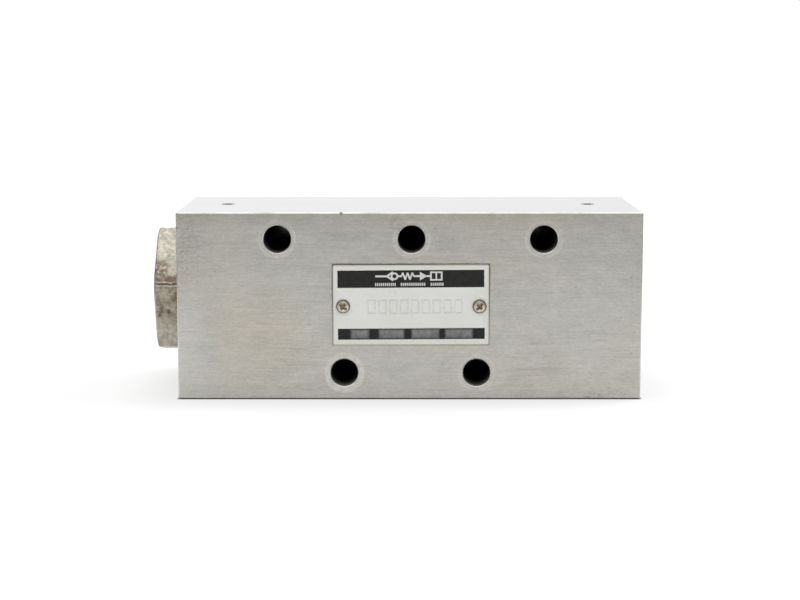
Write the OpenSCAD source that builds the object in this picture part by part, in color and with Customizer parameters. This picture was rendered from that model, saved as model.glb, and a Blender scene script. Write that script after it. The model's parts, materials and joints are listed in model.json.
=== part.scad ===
// Pilot-operated check valve in a one-piece rectangular steel body.
// Millimetres. Origin: middle of the port row in the mounting (gasket) face, which looks along +Y.
// X runs along the block, Z is up, and the nameplate face looks along -Y.
// The working bore runs along X through the block, a little above its middle.

/* [Body] */
// Length of the block along X
body_l = 177.8; // [176:0.1:184]
// Height of the block along Z
body_h = 72.1; // [71.6:0.1:76]
// Depth of the block along Y, from the mounting face to the nameplate face
body_d = 71.4; // [71:0.1:76]
// Height of the block's middle above the working bore's axis (below it if negative)
body_z = -2.0; // [-2.2:0.1:0]
// Width of the small chamfer on all edges of the block
edge_chamfer = 0.45; // [0.2:0.05:0.8]

/* [Mounting holes] */
// Diameter of the counterbores that take the heads of the 1/4 in socket head screws
bolt_hole_d = 10.32; // [9.9:0.02:10.6]
// Depth of the counterbores
bolt_head_depth = 30; // [20:0.5:32]
// Diameter of the clearance holes for the 1/4 in screws
bolt_shank_d = 6.53; // [6.4:0.01:6.8]
// Distance between neighbouring holes of the upper row
bolt_pitch = 50.8; // [49:0.1:52]
// Distance from the upper or lower edge of the block to its row of holes
bolt_inset = 10.3; // [9.6:0.1:10.6]
// Distance by which the hole pattern sits to the right of the block's middle
hole_shift = 0.4; // [0:0.1:0.6]
// Depth of the blind middle hole of the upper row
middle_hole_depth = 60; // [40:0.5:62]
// Position of the middle hole along X
middle_hole_x = 0.8; // [0:0.1:1]
// Chamfer at the mouth of each hole
hole_chamfer = 0.45; // [0.2:0.05:0.8]

/* [Ports in the mounting face] */
// Diameter of the two main ports
port_d = 15; // [12:0.1:15]
// Position of port A (inlet side of the poppet) along X
port_a_x = 14; // [13.8:0.1:14.2]
// Position of port B (spring side of the poppet) along X
port_b_x = -13.5; // [-13.7:0.1:-13.3]
// Diameter of the pilot and drain ports
small_port_d = 6; // [5:0.1:6.4]
// Position of the pilot port along X
pilot_x = 69; // [68:0.1:70]
// Position of the drain port along X
drain_x = 40; // [39.8:0.1:40.2]

/* [Bores] */
// Diameter of the main bore that holds the cage, the seat and the rod guide
main_bore_d = 33; // [32.96:0.01:33.06]
// Diameter of the pilot piston's bore
pilot_bore_d = 24; // [23.98:0.01:24.04]
// Diameter of the annular port grooves around the main bore
groove_d = 35; // [34:0.1:35.6]

/* [Poppet and piston] */
// Diameter of the poppet
poppet_d = 22; // [21.96:0.01:22]
// Diameter of the seat's bore, where the cone closes
seat_d = 18; // [17.5:0.1:18]
// Diameter of the push rod
rod_d = 8; // [7.9:0.02:8]
// Diameter of the pilot piston
piston_d = 23.9; // [23.86:0.01:23.92]

/* [End plugs] */
// Width across flats of the hexagon head at the spring end
plug_hex_af = 47.63; // [46:0.01:50]
// How far the hexagon head stands out of the block
plug_head_h = 10.1; // [8:0.1:11]
// Angle by which the hexagon stands turned after tightening
plug_turn = 11.4; // [0:0.1:60]
// Width across flats of the socket in the flush plug at the pilot end
socket_af = 14.29; // [12:0.01:16]

/* [Nameplate] */
// Width of the plate
plate_w = 59.6; // [58:0.1:62]
// Height of the plate
plate_h = 30.8; // [28:0.1:32]
// Thickness of the plate
plate_t = 0.7; // [0.5:0.05:1]
// Position of the plate's middle along X
plate_x = 0.55; // [-2:0.01:2]
// Height of the plate's middle above the block's middle
plate_z = 0.64; // [-1:0.01:1]
// Distance between the plate's two screws
plate_screw_pitch = 52.12; // [50:0.01:53]

/* [Hidden] */

round_fn = 96;
hl = body_l / 2;
hh = body_h / 2;
axis_y = -body_d / 2;
top_z = body_z + hh;
row_up = top_z - bolt_inset;
row_low = body_z - hh + bolt_inset;
screw_z = body_z + 0.06;
main_r = main_bore_d / 2;
pilot_r = pilot_bore_d / 2;
groove_r = groove_d / 2;
sleeve_r = main_r - 0.05;      // outside of cage, seat and rod guide
groove_floor = 14.2;           // floor of the outer seal grooves
seal_r = 1.12;                 // section of the bore seals
bore_end = 34;                 // step between main bore and pilot bore
cage_x0 = -69;
seat_x0 = -4;
seat_x1 = 4;
skirt_x1 = 22;
pitch_12 = 25.4 / 12;          // 12 threads per inch
plug_thread_r = 20.55;         // 1 5/8 in thread
pilot_thread_r = 13.45;        // 1 1/16 in thread
spot_r = 16.6;                 // counterbore for the flush plug's head
spot_x = hl - 4;
face_groove = 2.3;             // depth of the main ports' seal counterbores
face_cb_r = 11.5;
small_groove = 1.45;
small_cb_r = 6;
drill_x = [-72.2, 71.3];       // cross drillings in the upper face
drill_y = -35.5;
drill_r = 2.4;
steel = [0.66, 0.655, 0.63];
dark_steel = [0.45, 0.45, 0.44];
plug_colour = [0.62, 0.58, 0.50];
seal_colour = [0.08, 0.08, 0.08];
backup_colour = [0.88, 0.86, 0.80];
spring_colour = [0.35, 0.35, 0.36];

// Solid of revolution about the working bore's axis; points are [radius, x]
module turned(pts) {
    translate([0, axis_y, 0]) rotate([0, 90, 0]) rotate_extrude($fn = round_fn) polygon(pts);
}

// Ring with a round section about the working bore's axis
module bore_ring(mean_r, x, section_r) {
    translate([x, axis_y, 0]) rotate([0, 90, 0])
        rotate_extrude($fn = round_fn) translate([mean_r, 0]) circle(r = section_r, $fn = 32);
}

// Ring with a round section lying in the mounting face
module face_ring(x, mean_r, y, section_r) {
    translate([x, y, 0]) rotate([90, 0, 0])
        rotate_extrude($fn = round_fn) translate([mean_r, 0]) circle(r = section_r, $fn = 32);
}

// Ring with a rectangular section about the working bore's axis
module flat_ring(r0, r1, x0, x1) {
    turned([[r0, x0], [r1, x0], [r1, x1], [r0, x1]]);
}

// Cylinder along Y between y0 and y1
module along_y(x, z, y0, y1, r) {
    translate([x, y0, z]) rotate([-90, 0, 0]) cylinder(r = r, h = y1 - y0, $fn = 64);
}

// Thread shown as rings: outline points [radius, x] from x0 over n turns
function thread_rings(x0, n, pitch, r_out, depth) =
    [for (i = [0 : n - 1]) each [[r_out - depth, x0 + i * pitch],
                                 [r_out, x0 + (i + 0.42) * pitch],
                                 [r_out, x0 + (i + 0.58) * pitch],
                                 [r_out - depth, x0 + (i + 1) * pitch - 0.01]]];

// Coil spring about the working bore's axis, with one close turn at each end
function coil_x(t, n, w, len) =
    let (pe = 1.06 * w, pm = (len - w - 2 * pe) / (n - 2))
    t < 1 ? pe * t : t < n - 1 ? pe + pm * (t - 1) : pe + pm * (n - 2) + pe * (t - n + 1);

module coil_spring(x0, x1, mean_r, w, n) {
    seg = 16;
    sides = 6;
    rings = n * seg;
    pts = [for (i = [0 : rings]) for (j = [0 : sides - 1])
        let (a = 360 * i / seg, b = 360 * j / sides,
             x = x0 + w / 2 + coil_x(i / seg, n, w, x1 - x0) + sin(b) * w / 2,
             r = mean_r + cos(b) * w / 2)
        [x, axis_y + r * cos(a), r * sin(a)]];
    sides_f = [for (i = [0 : rings - 1]) for (j = [0 : sides - 1])
        let (k = (j + 1) % sides, p = i * sides, q = (i + 1) * sides)
        each [[p + j, p + k, q + k], [p + j, q + k, q + j]]];
    caps = [for (j = [1 : sides - 2]) each [[0, j + 1, j],
        [rings * sides, rings * sides + j, rings * sides + j + 1]]];
    polyhedron(points = pts, faces = concat(sides_f, caps), convexity = 10);
}

// Prism along Z with all four long edges chamfered
module chamfered_square(a, b, c) {
    polygon([[-a / 2 + c, -b / 2], [a / 2 - c, -b / 2], [a / 2, -b / 2 + c], [a / 2, b / 2 - c],
             [a / 2 - c, b / 2], [-a / 2 + c, b / 2], [-a / 2, b / 2 - c], [-a / 2, -b / 2 + c]]);
}

module block() {
    c = edge_chamfer;
    translate([0, axis_y, body_z]) intersection() {
        translate([0, 0, -hh]) linear_extrude(body_h) chamfered_square(body_l, body_d, c);
        translate([-hl, 0, 0]) rotate([0, 90, 0]) linear_extrude(body_l) chamfered_square(body_h, body_d, c);
        translate([0, body_d / 2, 0]) rotate([90, 0, 0]) linear_extrude(body_d) chamfered_square(body_l, body_h, c);
    }
}

// Chamfer cone at a hole's mouth; face_y is the face, out is +1 or -1 along Y
module mouth_y(x, z, face_y, out, r, c) {
    translate([x, face_y, z]) rotate([-90 * out, 0, 0])
        translate([0, 0, -c]) cylinder(r1 = r, r2 = r + 2 * c, h = 2 * c, $fn = 64);
}

module mounting_hole(x, z) {
    along_y(x, z, -body_d - 1, -body_d + bolt_head_depth, bolt_hole_d / 2);
    along_y(x, z, -body_d + bolt_head_depth - 1, 1, bolt_shank_d / 2);
    mouth_y(x, z, -body_d, -1, bolt_hole_d / 2, hole_chamfer);
    mouth_y(x, z, 0, 1, bolt_shank_d / 2, hole_chamfer);
}

module middle_hole() {
    r = bolt_hole_d / 2;
    end_y = -body_d + middle_hole_depth;
    along_y(middle_hole_x, row_up, -body_d - 1, end_y, r);
    translate([middle_hole_x, end_y, row_up]) rotate([-90, 0, 0]) cylinder(r1 = r, r2 = 0, h = r / tan(59), $fn = 64);
    mouth_y(middle_hole_x, row_up, -body_d, -1, r, hole_chamfer);
}

module working_bore() {
    turned([[0, -hl - 1], [22.4, -hl - 1], [22.4, -hl], [plug_thread_r + 0.1, -hl + 3.3],
            [plug_thread_r + 0.1, cage_x0], [main_r, cage_x0],
            [main_r, port_b_x - 8], [groove_r, port_b_x - 8], [groove_r, port_b_x + 8], [main_r, port_b_x + 8],
            [main_r, port_a_x - 8], [groove_r, port_a_x - 8], [groove_r, port_a_x + 8], [main_r, port_a_x + 8],
            [main_r, bore_end], [pilot_r, bore_end], [pilot_r, 74],
            [pilot_thread_r + 0.1, 74], [pilot_thread_r + 0.1, spot_x - 2.7], [15.2, spot_x],
            [spot_r, spot_x], [spot_r, hl + 1], [0, hl + 1]]);
}

module port_openings() {
    for (x = [port_a_x, port_b_x]) {
        along_y(x, 0, -17.5, 1, port_d / 2);
        along_y(x, 0, axis_y + 12, -17, port_d / 2 - 0.7);
        along_y(x, 0, -face_groove, 1, face_cb_r);
    }
    // pilot port with the seat for the screwed-in orifice behind it
    along_y(pilot_x, 0, -small_groove, 1, small_cb_r);
    along_y(pilot_x, 0, -12, 1, small_port_d / 2);
    along_y(pilot_x, 0, -19, -11, 2.5);
    along_y(pilot_x, 0, axis_y + 8, -18, 1.5);
    along_y(drain_x, 0, -small_groove, 1, small_cb_r);
    along_y(drain_x, 0, -20, 1, small_port_d / 2);
    along_y(drain_x, 0, axis_y + 8, -19, small_port_d / 2 - 0.6);
}

module cross_drillings() {
    for (i = [0, 1]) translate([drill_x[i], drill_y, 0]) {
        foot = i == 0 ? 17.5 : 8;
        translate([0, 0, top_z - 6.5]) cylinder(r = drill_r, h = 7.5, $fn = 48);
        translate([0, 0, foot]) cylinder(r = 1.5, h = top_z - 6 - foot, $fn = 48);
    }
}

module valve_body() {
    color(steel) difference() {
        block();
        working_bore();
        for (x = [-bolt_pitch, bolt_pitch]) mounting_hole(hole_shift + x, row_up);
        for (x = [-bolt_pitch / 2, bolt_pitch / 2]) mounting_hole(hole_shift + x, row_low);
        middle_hole();
        port_openings();
        cross_drillings();
        for (side = [-1, 1])
            along_y(plate_x + 0.15 + side * plate_screw_pitch / 2, screw_z, -body_d - 1, -body_d + 8, 1.42);
    }
}

// Hexagon plug at the spring end
module end_plug() {
    tip = -hl - plug_head_h;
    color(plug_colour) difference() {
        union() {
            intersection() {
                translate([tip, axis_y, 0]) rotate([0, 90, 0]) rotate([0, 0, -90 - plug_turn])
                    cylinder(r = plug_hex_af / 2 / cos(30), h = plug_head_h, $fn = 6);
                turned([[0, tip], [24.9, tip], [24.9 + 3.6, tip + 3.6 * tan(35)],
                        [24.9 + 3.6, -hl], [0, -hl]]);
            }
            turned(concat([[0, -hl - 0.5], [18.9, -hl - 0.5], [18.9, -hl + 3.3]],
                          thread_rings(-hl + 3.4, 4, pitch_12, plug_thread_r, 1.15),
                          [[18.9, -75.5], [15, -75.4], [15, cage_x0 - 0.02], [0, cage_x0 - 0.02]]));
        }
        // spring pocket, its vent, and the lathe centre in the head
        turned([[0, -80], [8.2, -80], [8.2, cage_x0 + 1], [0, cage_x0 + 1]]);
        translate([-72.2, axis_y, -16]) cylinder(r = 1.5, h = 32, $fn = 32);
        turned([[0, tip - 1], [3.6, tip - 1], [2.6, tip + 0.1], [0, tip + 2.6]]);
    }
}

module end_plug_o_ring() {
    color(seal_colour) bore_ring(20.15, -hl + 1.65, 1.2);
}

// Sleeve that guides the poppet
module poppet_cage() {
    color(dark_steel) difference() {
        turned([[poppet_d / 2 + 0.04, cage_x0], [sleeve_r - 0.6, cage_x0], [sleeve_r, cage_x0 + 0.6],
                [sleeve_r, -57], [groove_floor, -57], [groove_floor, -51], [sleeve_r, -51],
                [sleeve_r, seat_x0], [poppet_d / 2 + 0.04, seat_x0]]);
        for (a = [0 : 60 : 300]) translate([port_b_x, axis_y, 0]) rotate([a, 0, 0])
            cylinder(r = 4, h = 20, $fn = 48);
    }
}

module cage_o_ring() {
    color(seal_colour) bore_ring(15.34, -55.3, seal_r);
}

module cage_backup_ring() {
    color(backup_colour) flat_ring(14.24, 16.4, -53.7, -52.1);
}

// Poppet with a hollow back for its spring and a 45 degree cone
module poppet() {
    r = poppet_d / 2;
    nose = seat_x0 + seat_d / 2;   // x at which the cone would have no radius
    color(dark_steel) difference() {
        turned([[0, nose - 5 - 0.03], [5, nose - 5 - 0.03], [r, nose - r - 0.03],
                [r, -27.4], [r - 0.4, -27.6], [r - 0.4, -28.2], [r, -28.4],
                [r, -33.4], [r - 0.4, -33.6], [r - 0.4, -34.2], [r, -34.4],
                [r, -39.4], [r - 0.4, -39.6], [r - 0.4, -40.2], [r, -40.4],
                [r, -45.5], [r - 0.5, -46], [0, -46]]);
        turned([[0, -47], [8.4, -47], [8, -45.6], [8, -14], [0, -14]]);
        for (a = [30, 210]) translate([-16, axis_y, 0]) rotate([a, 0, 0])
            cylinder(r = 1.2, h = 20, $fn = 24);
    }
}

module poppet_spring() {
    color(spring_colour) coil_spring(-79.98, -14.02, 6.5, 2.2, 12);
}

module valve_seat() {
    color(dark_steel)
        turned([[seat_d / 2, seat_x0], [sleeve_r, seat_x0], [sleeve_r, -1.6], [groove_floor, -1.6],
                [groove_floor, 1.6], [sleeve_r, 1.6], [sleeve_r, seat_x1],
                [seat_d / 2 + 1.2, seat_x1], [seat_d / 2, seat_x1 - 1.2]]);
}

module seat_o_ring() {
    color(seal_colour) bore_ring(15.34, 0, seal_r);
}

// Guide between the inlet chamber and the pilot piston, with a windowed skirt
module rod_guide() {
    rr = rod_d / 2 + 0.04;
    color(dark_steel) difference() {
        turned([[11.5, seat_x1], [sleeve_r, seat_x1], [sleeve_r, 24.4], [groove_floor, 24.4],
                [groove_floor, 30.4], [sleeve_r, 30.4], [sleeve_r, bore_end - 0.6],
                [sleeve_r - 0.6, bore_end], [rr, bore_end], [rr, 30.2], [6.3, 30.2], [6.3, 27], [rr, 27],
                [rr, skirt_x1 + 0.6], [rr + 0.6, skirt_x1], [11.5, skirt_x1]]);
        for (a = [0 : 60 : 300]) translate([port_a_x, axis_y, 0]) rotate([a, 0, 0])
            cylinder(r = 4, h = 20, $fn = 48);
    }
}

module rod_guide_o_ring() {
    color(seal_colour) bore_ring(15.34, 26.1, seal_r);
}

module rod_guide_backup_ring() {
    color(backup_colour) flat_ring(14.24, 16.4, 27.7, 29.3);
}

// Lip seal in the guide's inner groove, open towards the inlet chamber
module rod_seal() {
    rr = rod_d / 2 + 0.02;
    color(seal_colour)
        turned([[rr, 27.2], [rr + 0.7, 27.2], [5.15, 28.4], [5.55, 27.2], [6.25, 27.2], [6.25, 30], [rr, 30]]);
}

module push_rod() {
    r = rod_d / 2;
    color(steel)
        turned([[0, 0.05], [r - 0.6, 0.05], [r, 0.65], [r, 45.98], [3, 45.98], [3, 57.5], [2.5, 58], [0, 58]]);
}

module pilot_piston() {
    r = piston_d / 2;
    color(steel) difference() {
        turned([[0, 46], [6.5, 46], [6.5, 50], [10.6, 50], [10.6, 46], [r - 0.3, 46], [r, 46.3],
                [r, 53.5], [9.7, 53.5], [9.7, 58.5], [r, 58.5], [r, 65.5], [r - 0.5, 66], [0, 66]]);
        // socket for the rod and the tapped puller hole
        turned([[0, 45], [3.02, 45], [3.02, 58.2], [0, 58.2]]);
        turned([[0, 60.5], [2.5, 61.9], [2.5, 67], [0, 67]]);
    }
}

module piston_seal() {
    color(seal_colour) bore_ring(10.84, 56, seal_r);
}

module piston_backup_rings() {
    color(backup_colour) {
        flat_ring(9.75, 11.9, 53.6, 54.8);
        flat_ring(9.75, 11.9, 57.2, 58.4);
    }
}

module piston_return_spring() {
    color(spring_colour) coil_spring(bore_end + 0.02, 49.98, 9.4, 1.6, 5);
}

// Flush plug at the pilot end, with a hexagon socket and a nose that stops the piston
module pilot_end_plug() {
    color(dark_steel) difference() {
        turned(concat([[0, 66.02], [5.5, 66.02], [6, 66.52], [6, 74.2]],
                      thread_rings(74.2, 4, 2, pilot_thread_r, 1.1),
                      [[11.9, spot_x - 2.6], [11.9, spot_x + 0.02], [15.9, spot_x + 0.02],
                       [15.9, hl - 1], [15.3, hl - 0.4], [0, hl - 0.4]]));
        translate([hl - 8.9, axis_y, 0]) rotate([0, 90, 0])
            cylinder(r = socket_af / 2 / cos(30), h = 10, $fn = 6);
        turned([[0, hl - 1.1], [socket_af / 2, hl - 1.1], [socket_af / 2 + 1.6, hl + 0.5], [0, hl + 0.5]]);
    }
}

module pilot_end_plug_o_ring() {
    color(seal_colour) bore_ring(13.02, spot_x - 1.35, 1.08);
}

// Damping orifice screwed into the pilot passage
module pilot_orifice() {
    color([0.72, 0.6, 0.35]) difference() {
        along_y(pilot_x, 0, -18, -13, 2.47);
        along_y(pilot_x, 0, -19, -12, 0.5);
        translate([pilot_x, -15.5, 0]) rotate([-90, 0, 0]) cylinder(r = 1.44, h = 3, $fn = 6);
    }
}

// Expander plugs that close the cross drillings
module cross_drilling_plugs() {
    color(dark_steel) for (x = drill_x) translate([x, drill_y, top_z - 6]) difference() {
        cylinder(r = drill_r - 0.02, h = 5.5, $fn = 48);
        translate([0, 0, 1]) cylinder(r = 1.85, h = 6, $fn = 48);
        translate([0, 0, 5.2]) cylinder(r1 = 1.85, r2 = 2.25, h = 0.4, $fn = 48);
    }
}

module cross_drilling_balls() {
    color([0.5, 0.5, 0.5]) for (x = drill_x)
        translate([x, drill_y, top_z - 3.05]) sphere(r = 1.83, $fn = 48);
}

module nameplate() {
    c = 0.9;
    color([0.83, 0.84, 0.82]) translate([plate_x, -body_d, body_z + plate_z]) rotate([90, 0, 0])
        difference() {
            linear_extrude(plate_t) {
                square([plate_w - 2 * c, plate_h], center = true);
                square([plate_w, plate_h - 2 * c], center = true);
                for (sx = [-1, 1]) for (sz = [-1, 1])
                    translate([sx * (plate_w / 2 - c), sz * (plate_h / 2 - c)]) circle(r = c, $fn = 32);
            }
            for (side = [-1, 1])
                translate([0.15 + side * plate_screw_pitch / 2, 0.06 - plate_z, -1])
                    cylinder(r = 1.6, h = 3, $fn = 32);
        }
}

// Small pan head screw with a cross recess; turn is the recess angle
module plate_screw(x, z, turn) {
    y = -body_d - plate_t;
    translate([x, y, z]) rotate([90, 0, 0]) difference() {
        union() {
            intersection() {
                cylinder(r = 2.65, h = 1.5, $fn = 48);
                translate([0, 0, -2.9]) sphere(r = 4.3, $fn = 96);
            }
            translate([0, 0, -7]) cylinder(r = 1.4, h = 7.2, $fn = 32);
        }
        rotate([0, 0, turn]) for (a = [0, 90]) rotate([0, 0, a])
            translate([-1.45, -0.36, 0.55]) cube([2.9, 0.72, 2]);
        translate([0, 0, 0.3]) cylinder(r1 = 0.3, r2 = 0.75, h = 1.2, $fn = 24);
    }
}

module nameplate_screws() {
    color([0.5, 0.47, 0.42]) {
        plate_screw(plate_x + 0.15 - plate_screw_pitch / 2, screw_z, 28);
        plate_screw(plate_x + 0.15 + plate_screw_pitch / 2, screw_z, 45);
    }
}

module port_a_o_ring() {
    color(seal_colour) face_ring(port_a_x, face_cb_r - 1.15, -1.17, 1.12);
}

module port_b_o_ring() {
    color(seal_colour) face_ring(port_b_x, face_cb_r - 1.15, -1.17, 1.12);
}

module pilot_port_o_ring() {
    color(seal_colour) face_ring(pilot_x, small_cb_r - 0.71, -0.74, 0.69);
}

module drain_port_o_ring() {
    color(seal_colour) face_ring(drain_x, small_cb_r - 0.71, -0.74, 0.69);
}

valve_body();
end_plug();
end_plug_o_ring();
poppet_cage();
cage_o_ring();
cage_backup_ring();
poppet();
poppet_spring();
valve_seat();
seat_o_ring();
rod_guide();
rod_guide_o_ring();
rod_guide_backup_ring();
rod_seal();
push_rod();
pilot_piston();
piston_seal();
piston_backup_rings();
piston_return_spring();
pilot_end_plug();
pilot_end_plug_o_ring();
pilot_orifice();
cross_drilling_plugs();
cross_drilling_balls();
nameplate();
nameplate_screws();
port_a_o_ring();
port_b_o_ring();
pilot_port_o_ring();
drain_port_o_ring();
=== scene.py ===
import json
import math

import bpy
import numpy as np
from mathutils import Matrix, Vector, noise


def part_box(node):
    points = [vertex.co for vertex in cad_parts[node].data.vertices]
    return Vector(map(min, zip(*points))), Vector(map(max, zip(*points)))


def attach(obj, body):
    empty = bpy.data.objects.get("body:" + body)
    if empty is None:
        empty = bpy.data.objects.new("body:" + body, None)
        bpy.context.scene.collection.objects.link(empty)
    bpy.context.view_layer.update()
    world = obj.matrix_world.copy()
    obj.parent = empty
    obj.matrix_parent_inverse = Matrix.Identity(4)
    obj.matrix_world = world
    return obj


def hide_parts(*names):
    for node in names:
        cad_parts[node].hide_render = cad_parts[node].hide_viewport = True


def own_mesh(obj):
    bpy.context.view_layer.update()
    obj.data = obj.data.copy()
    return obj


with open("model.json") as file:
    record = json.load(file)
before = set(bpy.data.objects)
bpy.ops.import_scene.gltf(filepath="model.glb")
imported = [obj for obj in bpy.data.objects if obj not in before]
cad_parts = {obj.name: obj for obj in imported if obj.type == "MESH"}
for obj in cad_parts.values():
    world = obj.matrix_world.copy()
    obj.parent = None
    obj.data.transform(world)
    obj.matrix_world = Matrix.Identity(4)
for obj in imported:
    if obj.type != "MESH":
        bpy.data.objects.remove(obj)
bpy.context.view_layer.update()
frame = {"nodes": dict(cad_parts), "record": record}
nodes = frame["nodes"]
MM = 0.001

# ---------------------------------------------------------------- camera
scene = bpy.context.scene
cam_data = bpy.data.cameras.new("camera")
camera = bpy.data.objects.new("camera", cam_data)
scene.collection.objects.link(camera)
cam_data.sensor_fit = "HORIZONTAL"
cam_data.sensor_width = 36.0
cam_data.lens = 82.872
cam_data.clip_start = 0.05
cam_data.clip_end = 40.0
camera.location = (-0.00363, -0.76832, 0.09856)
camera.rotation_euler = (math.radians(90 - 8.013), 0.0, 0.0)
scene.camera = camera

# ---------------------------------------------------------------- places, from the frame, in mm
body_lo, body_hi = (np.array(v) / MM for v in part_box("valve_body"))
plug_lo, plug_hi = (np.array(v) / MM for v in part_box("end_plug"))
plate_lo, plate_hi = (np.array(v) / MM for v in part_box("nameplate"))
screws_lo, screws_hi = (np.array(v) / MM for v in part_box("nameplate_screws"))
FRONT = body_lo[1]          # nameplate face
BASE = body_lo[2]
TOP = body_hi[2]
LEFT = body_lo[0]
RIGHT = body_hi[0]
AXIS_Y = (body_lo[1] + body_hi[1]) / 2
TURN = math.radians(11.4)     # how far the hexagon stands turned
HOLE_R = 5.16
MID_Z = (BASE + TOP) / 2
ROW_UP, ROW_LOW = MID_Z + 25.75, MID_Z - 25.75
HOLES = [(-50.4, ROW_UP), (0.8, ROW_UP), (51.2, ROW_UP), (-25.0, ROW_LOW), (25.8, ROW_LOW)]


# ---------------------------------------------------------------- shader helper
class Shade:
    """Builds one material's nodes. Every method returns an output socket."""

    def __init__(self, name):
        self.mat = bpy.data.materials.new(name)
        self.mat.use_nodes = True
        self.t = self.mat.node_tree
        self.t.nodes.clear()
        self.out = self.t.nodes.new("ShaderNodeOutputMaterial")
        self.bsdf = self.t.nodes.new("ShaderNodeBsdfPrincipled")
        self.t.links.new(self.bsdf.outputs[0], self.out.inputs[0])
        self.tc = self.t.nodes.new("ShaderNodeTexCoord")
        self.mm = self.vmath("SCALE", self.tc.outputs["Object"], scale=1000.0)

    def node(self, kind, **props):
        n = self.t.nodes.new(kind)
        for k, v in props.items():
            setattr(n, k, v)
        return n

    def put(self, socket, value):
        if isinstance(value, bpy.types.NodeSocket):
            self.t.links.new(value, socket)
        elif value is not None:
            socket.default_value = value

    def vmath(self, op, a, b=None, scale=None):
        n = self.node("ShaderNodeVectorMath", operation=op)
        self.put(n.inputs[0], a)
        if b is not None:
            self.put(n.inputs[1], b)
        if scale is not None:
            self.put(n.inputs["Scale"], scale)
        return n.outputs["Value"] if op in ("LENGTH", "DOT_PRODUCT", "DISTANCE") else n.outputs[0]

    def math(self, op, a, b=None, c=None, clamp=False):
        n = self.node("ShaderNodeMath", operation=op, use_clamp=clamp)
        self.put(n.inputs[0], a)
        if b is not None:
            self.put(n.inputs[1], b)
        if c is not None:
            self.put(n.inputs[2], c)
        return n.outputs[0]

    def xyz(self, v):
        n = self.node("ShaderNodeSeparateXYZ")
        self.put(n.inputs[0], v)
        return n.outputs

    def combine(self, x, y, z):
        n = self.node("ShaderNodeCombineXYZ")
        for s, v in zip(n.inputs, (x, y, z)):
            self.put(s, v)
        return n.outputs[0]

    def mapped(self, v, scale=(1, 1, 1), move=(0, 0, 0), turn=(0, 0, 0)):
        n = self.node("ShaderNodeMapping")
        self.put(n.inputs["Vector"], v)
        n.inputs["Location"].default_value = move
        n.inputs["Rotation"].default_value = turn
        n.inputs["Scale"].default_value = scale
        return n.outputs[0]

    def noise(self, v, scale=1.0, detail=3.0, rough=0.5, distort=0.0, colour=False):
        n = self.node("ShaderNodeTexNoise")
        self.put(n.inputs["Vector"], v)
        n.inputs["Scale"].default_value = scale
        n.inputs["Detail"].default_value = detail
        n.inputs["Roughness"].default_value = rough
        n.inputs["Distortion"].default_value = distort
        return n.outputs["Color" if colour else "Fac"]

    def voronoi(self, v, scale=1.0, feature="F1", random=1.0):
        n = self.node("ShaderNodeTexVoronoi", feature=feature)
        self.put(n.inputs["Vector"], v)
        n.inputs["Scale"].default_value = scale
        n.inputs["Randomness"].default_value = random
        return n.outputs["Distance"]

    def ramp(self, f, stops, mode="LINEAR"):
        n = self.node("ShaderNodeValToRGB")
        n.color_ramp.interpolation = mode
        e = n.color_ramp.elements
        while len(e) < len(stops):
            e.new(0.5)
        for item, (p, c) in zip(e, stops):
            item.position = p
            item.color = (c, c, c, 1.0) if isinstance(c, (int, float)) else (*c, 1.0)
        self.put(n.inputs[0], f)
        return n.outputs[0]

    def span(self, f, a, b, c=0.0, d=1.0, smooth=True):
        n = self.node("ShaderNodeMapRange", interpolation_type="SMOOTHSTEP" if smooth else "LINEAR")
        self.put(n.inputs[0], f)
        for i, v in zip((1, 2, 3, 4), (a, b, c, d)):
            self.put(n.inputs[i], v)
        return n.outputs[0]

    def mix(self, f, a, b, blend="MIX"):
        n = self.node("ShaderNodeMix", data_type="RGBA", blend_type=blend)
        self.put(n.inputs[0], f)
        self.put(n.inputs[6], (*a, 1.0) if isinstance(a, tuple) else a)
        self.put(n.inputs[7], (*b, 1.0) if isinstance(b, tuple) else b)
        return n.outputs[2]

    def bump(self, height, strength, distance, normal=None):
        n = self.node("ShaderNodeBump")
        n.inputs["Strength"].default_value = strength
        n.inputs["Distance"].default_value = distance
        self.put(n.inputs["Height"], height)
        if normal is not None:
            self.put(n.inputs["Normal"], normal)
        return n.outputs[0]

    def set(self, **values):
        names = dict(colour="Base Color", metal="Metallic", rough="Roughness", normal="Normal",
                     coat="Coat Weight", coat_rough="Coat Roughness", aniso="Anisotropic",
                     specular="Specular IOR Level", ior="IOR", sheen="Sheen Weight")
        for k, v in values.items():
            s = self.bsdf.inputs[names[k]]
            if isinstance(v, tuple):
                v = (*v, 1.0)
            self.put(s, v)
        return self.mat


def near(s, point, radius, soft):
    """1 within radius (mm) of a point in the x-z plane, falling to 0 over soft mm."""
    x, _, z = s.xyz(s.mm)
    d = s.vmath("LENGTH", s.combine(s.math("SUBTRACT", x, point[0]), 0.0, s.math("SUBTRACT", z, point[1])))
    return s.span(d, radius, radius + soft, 1.0, 0.0)


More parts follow.
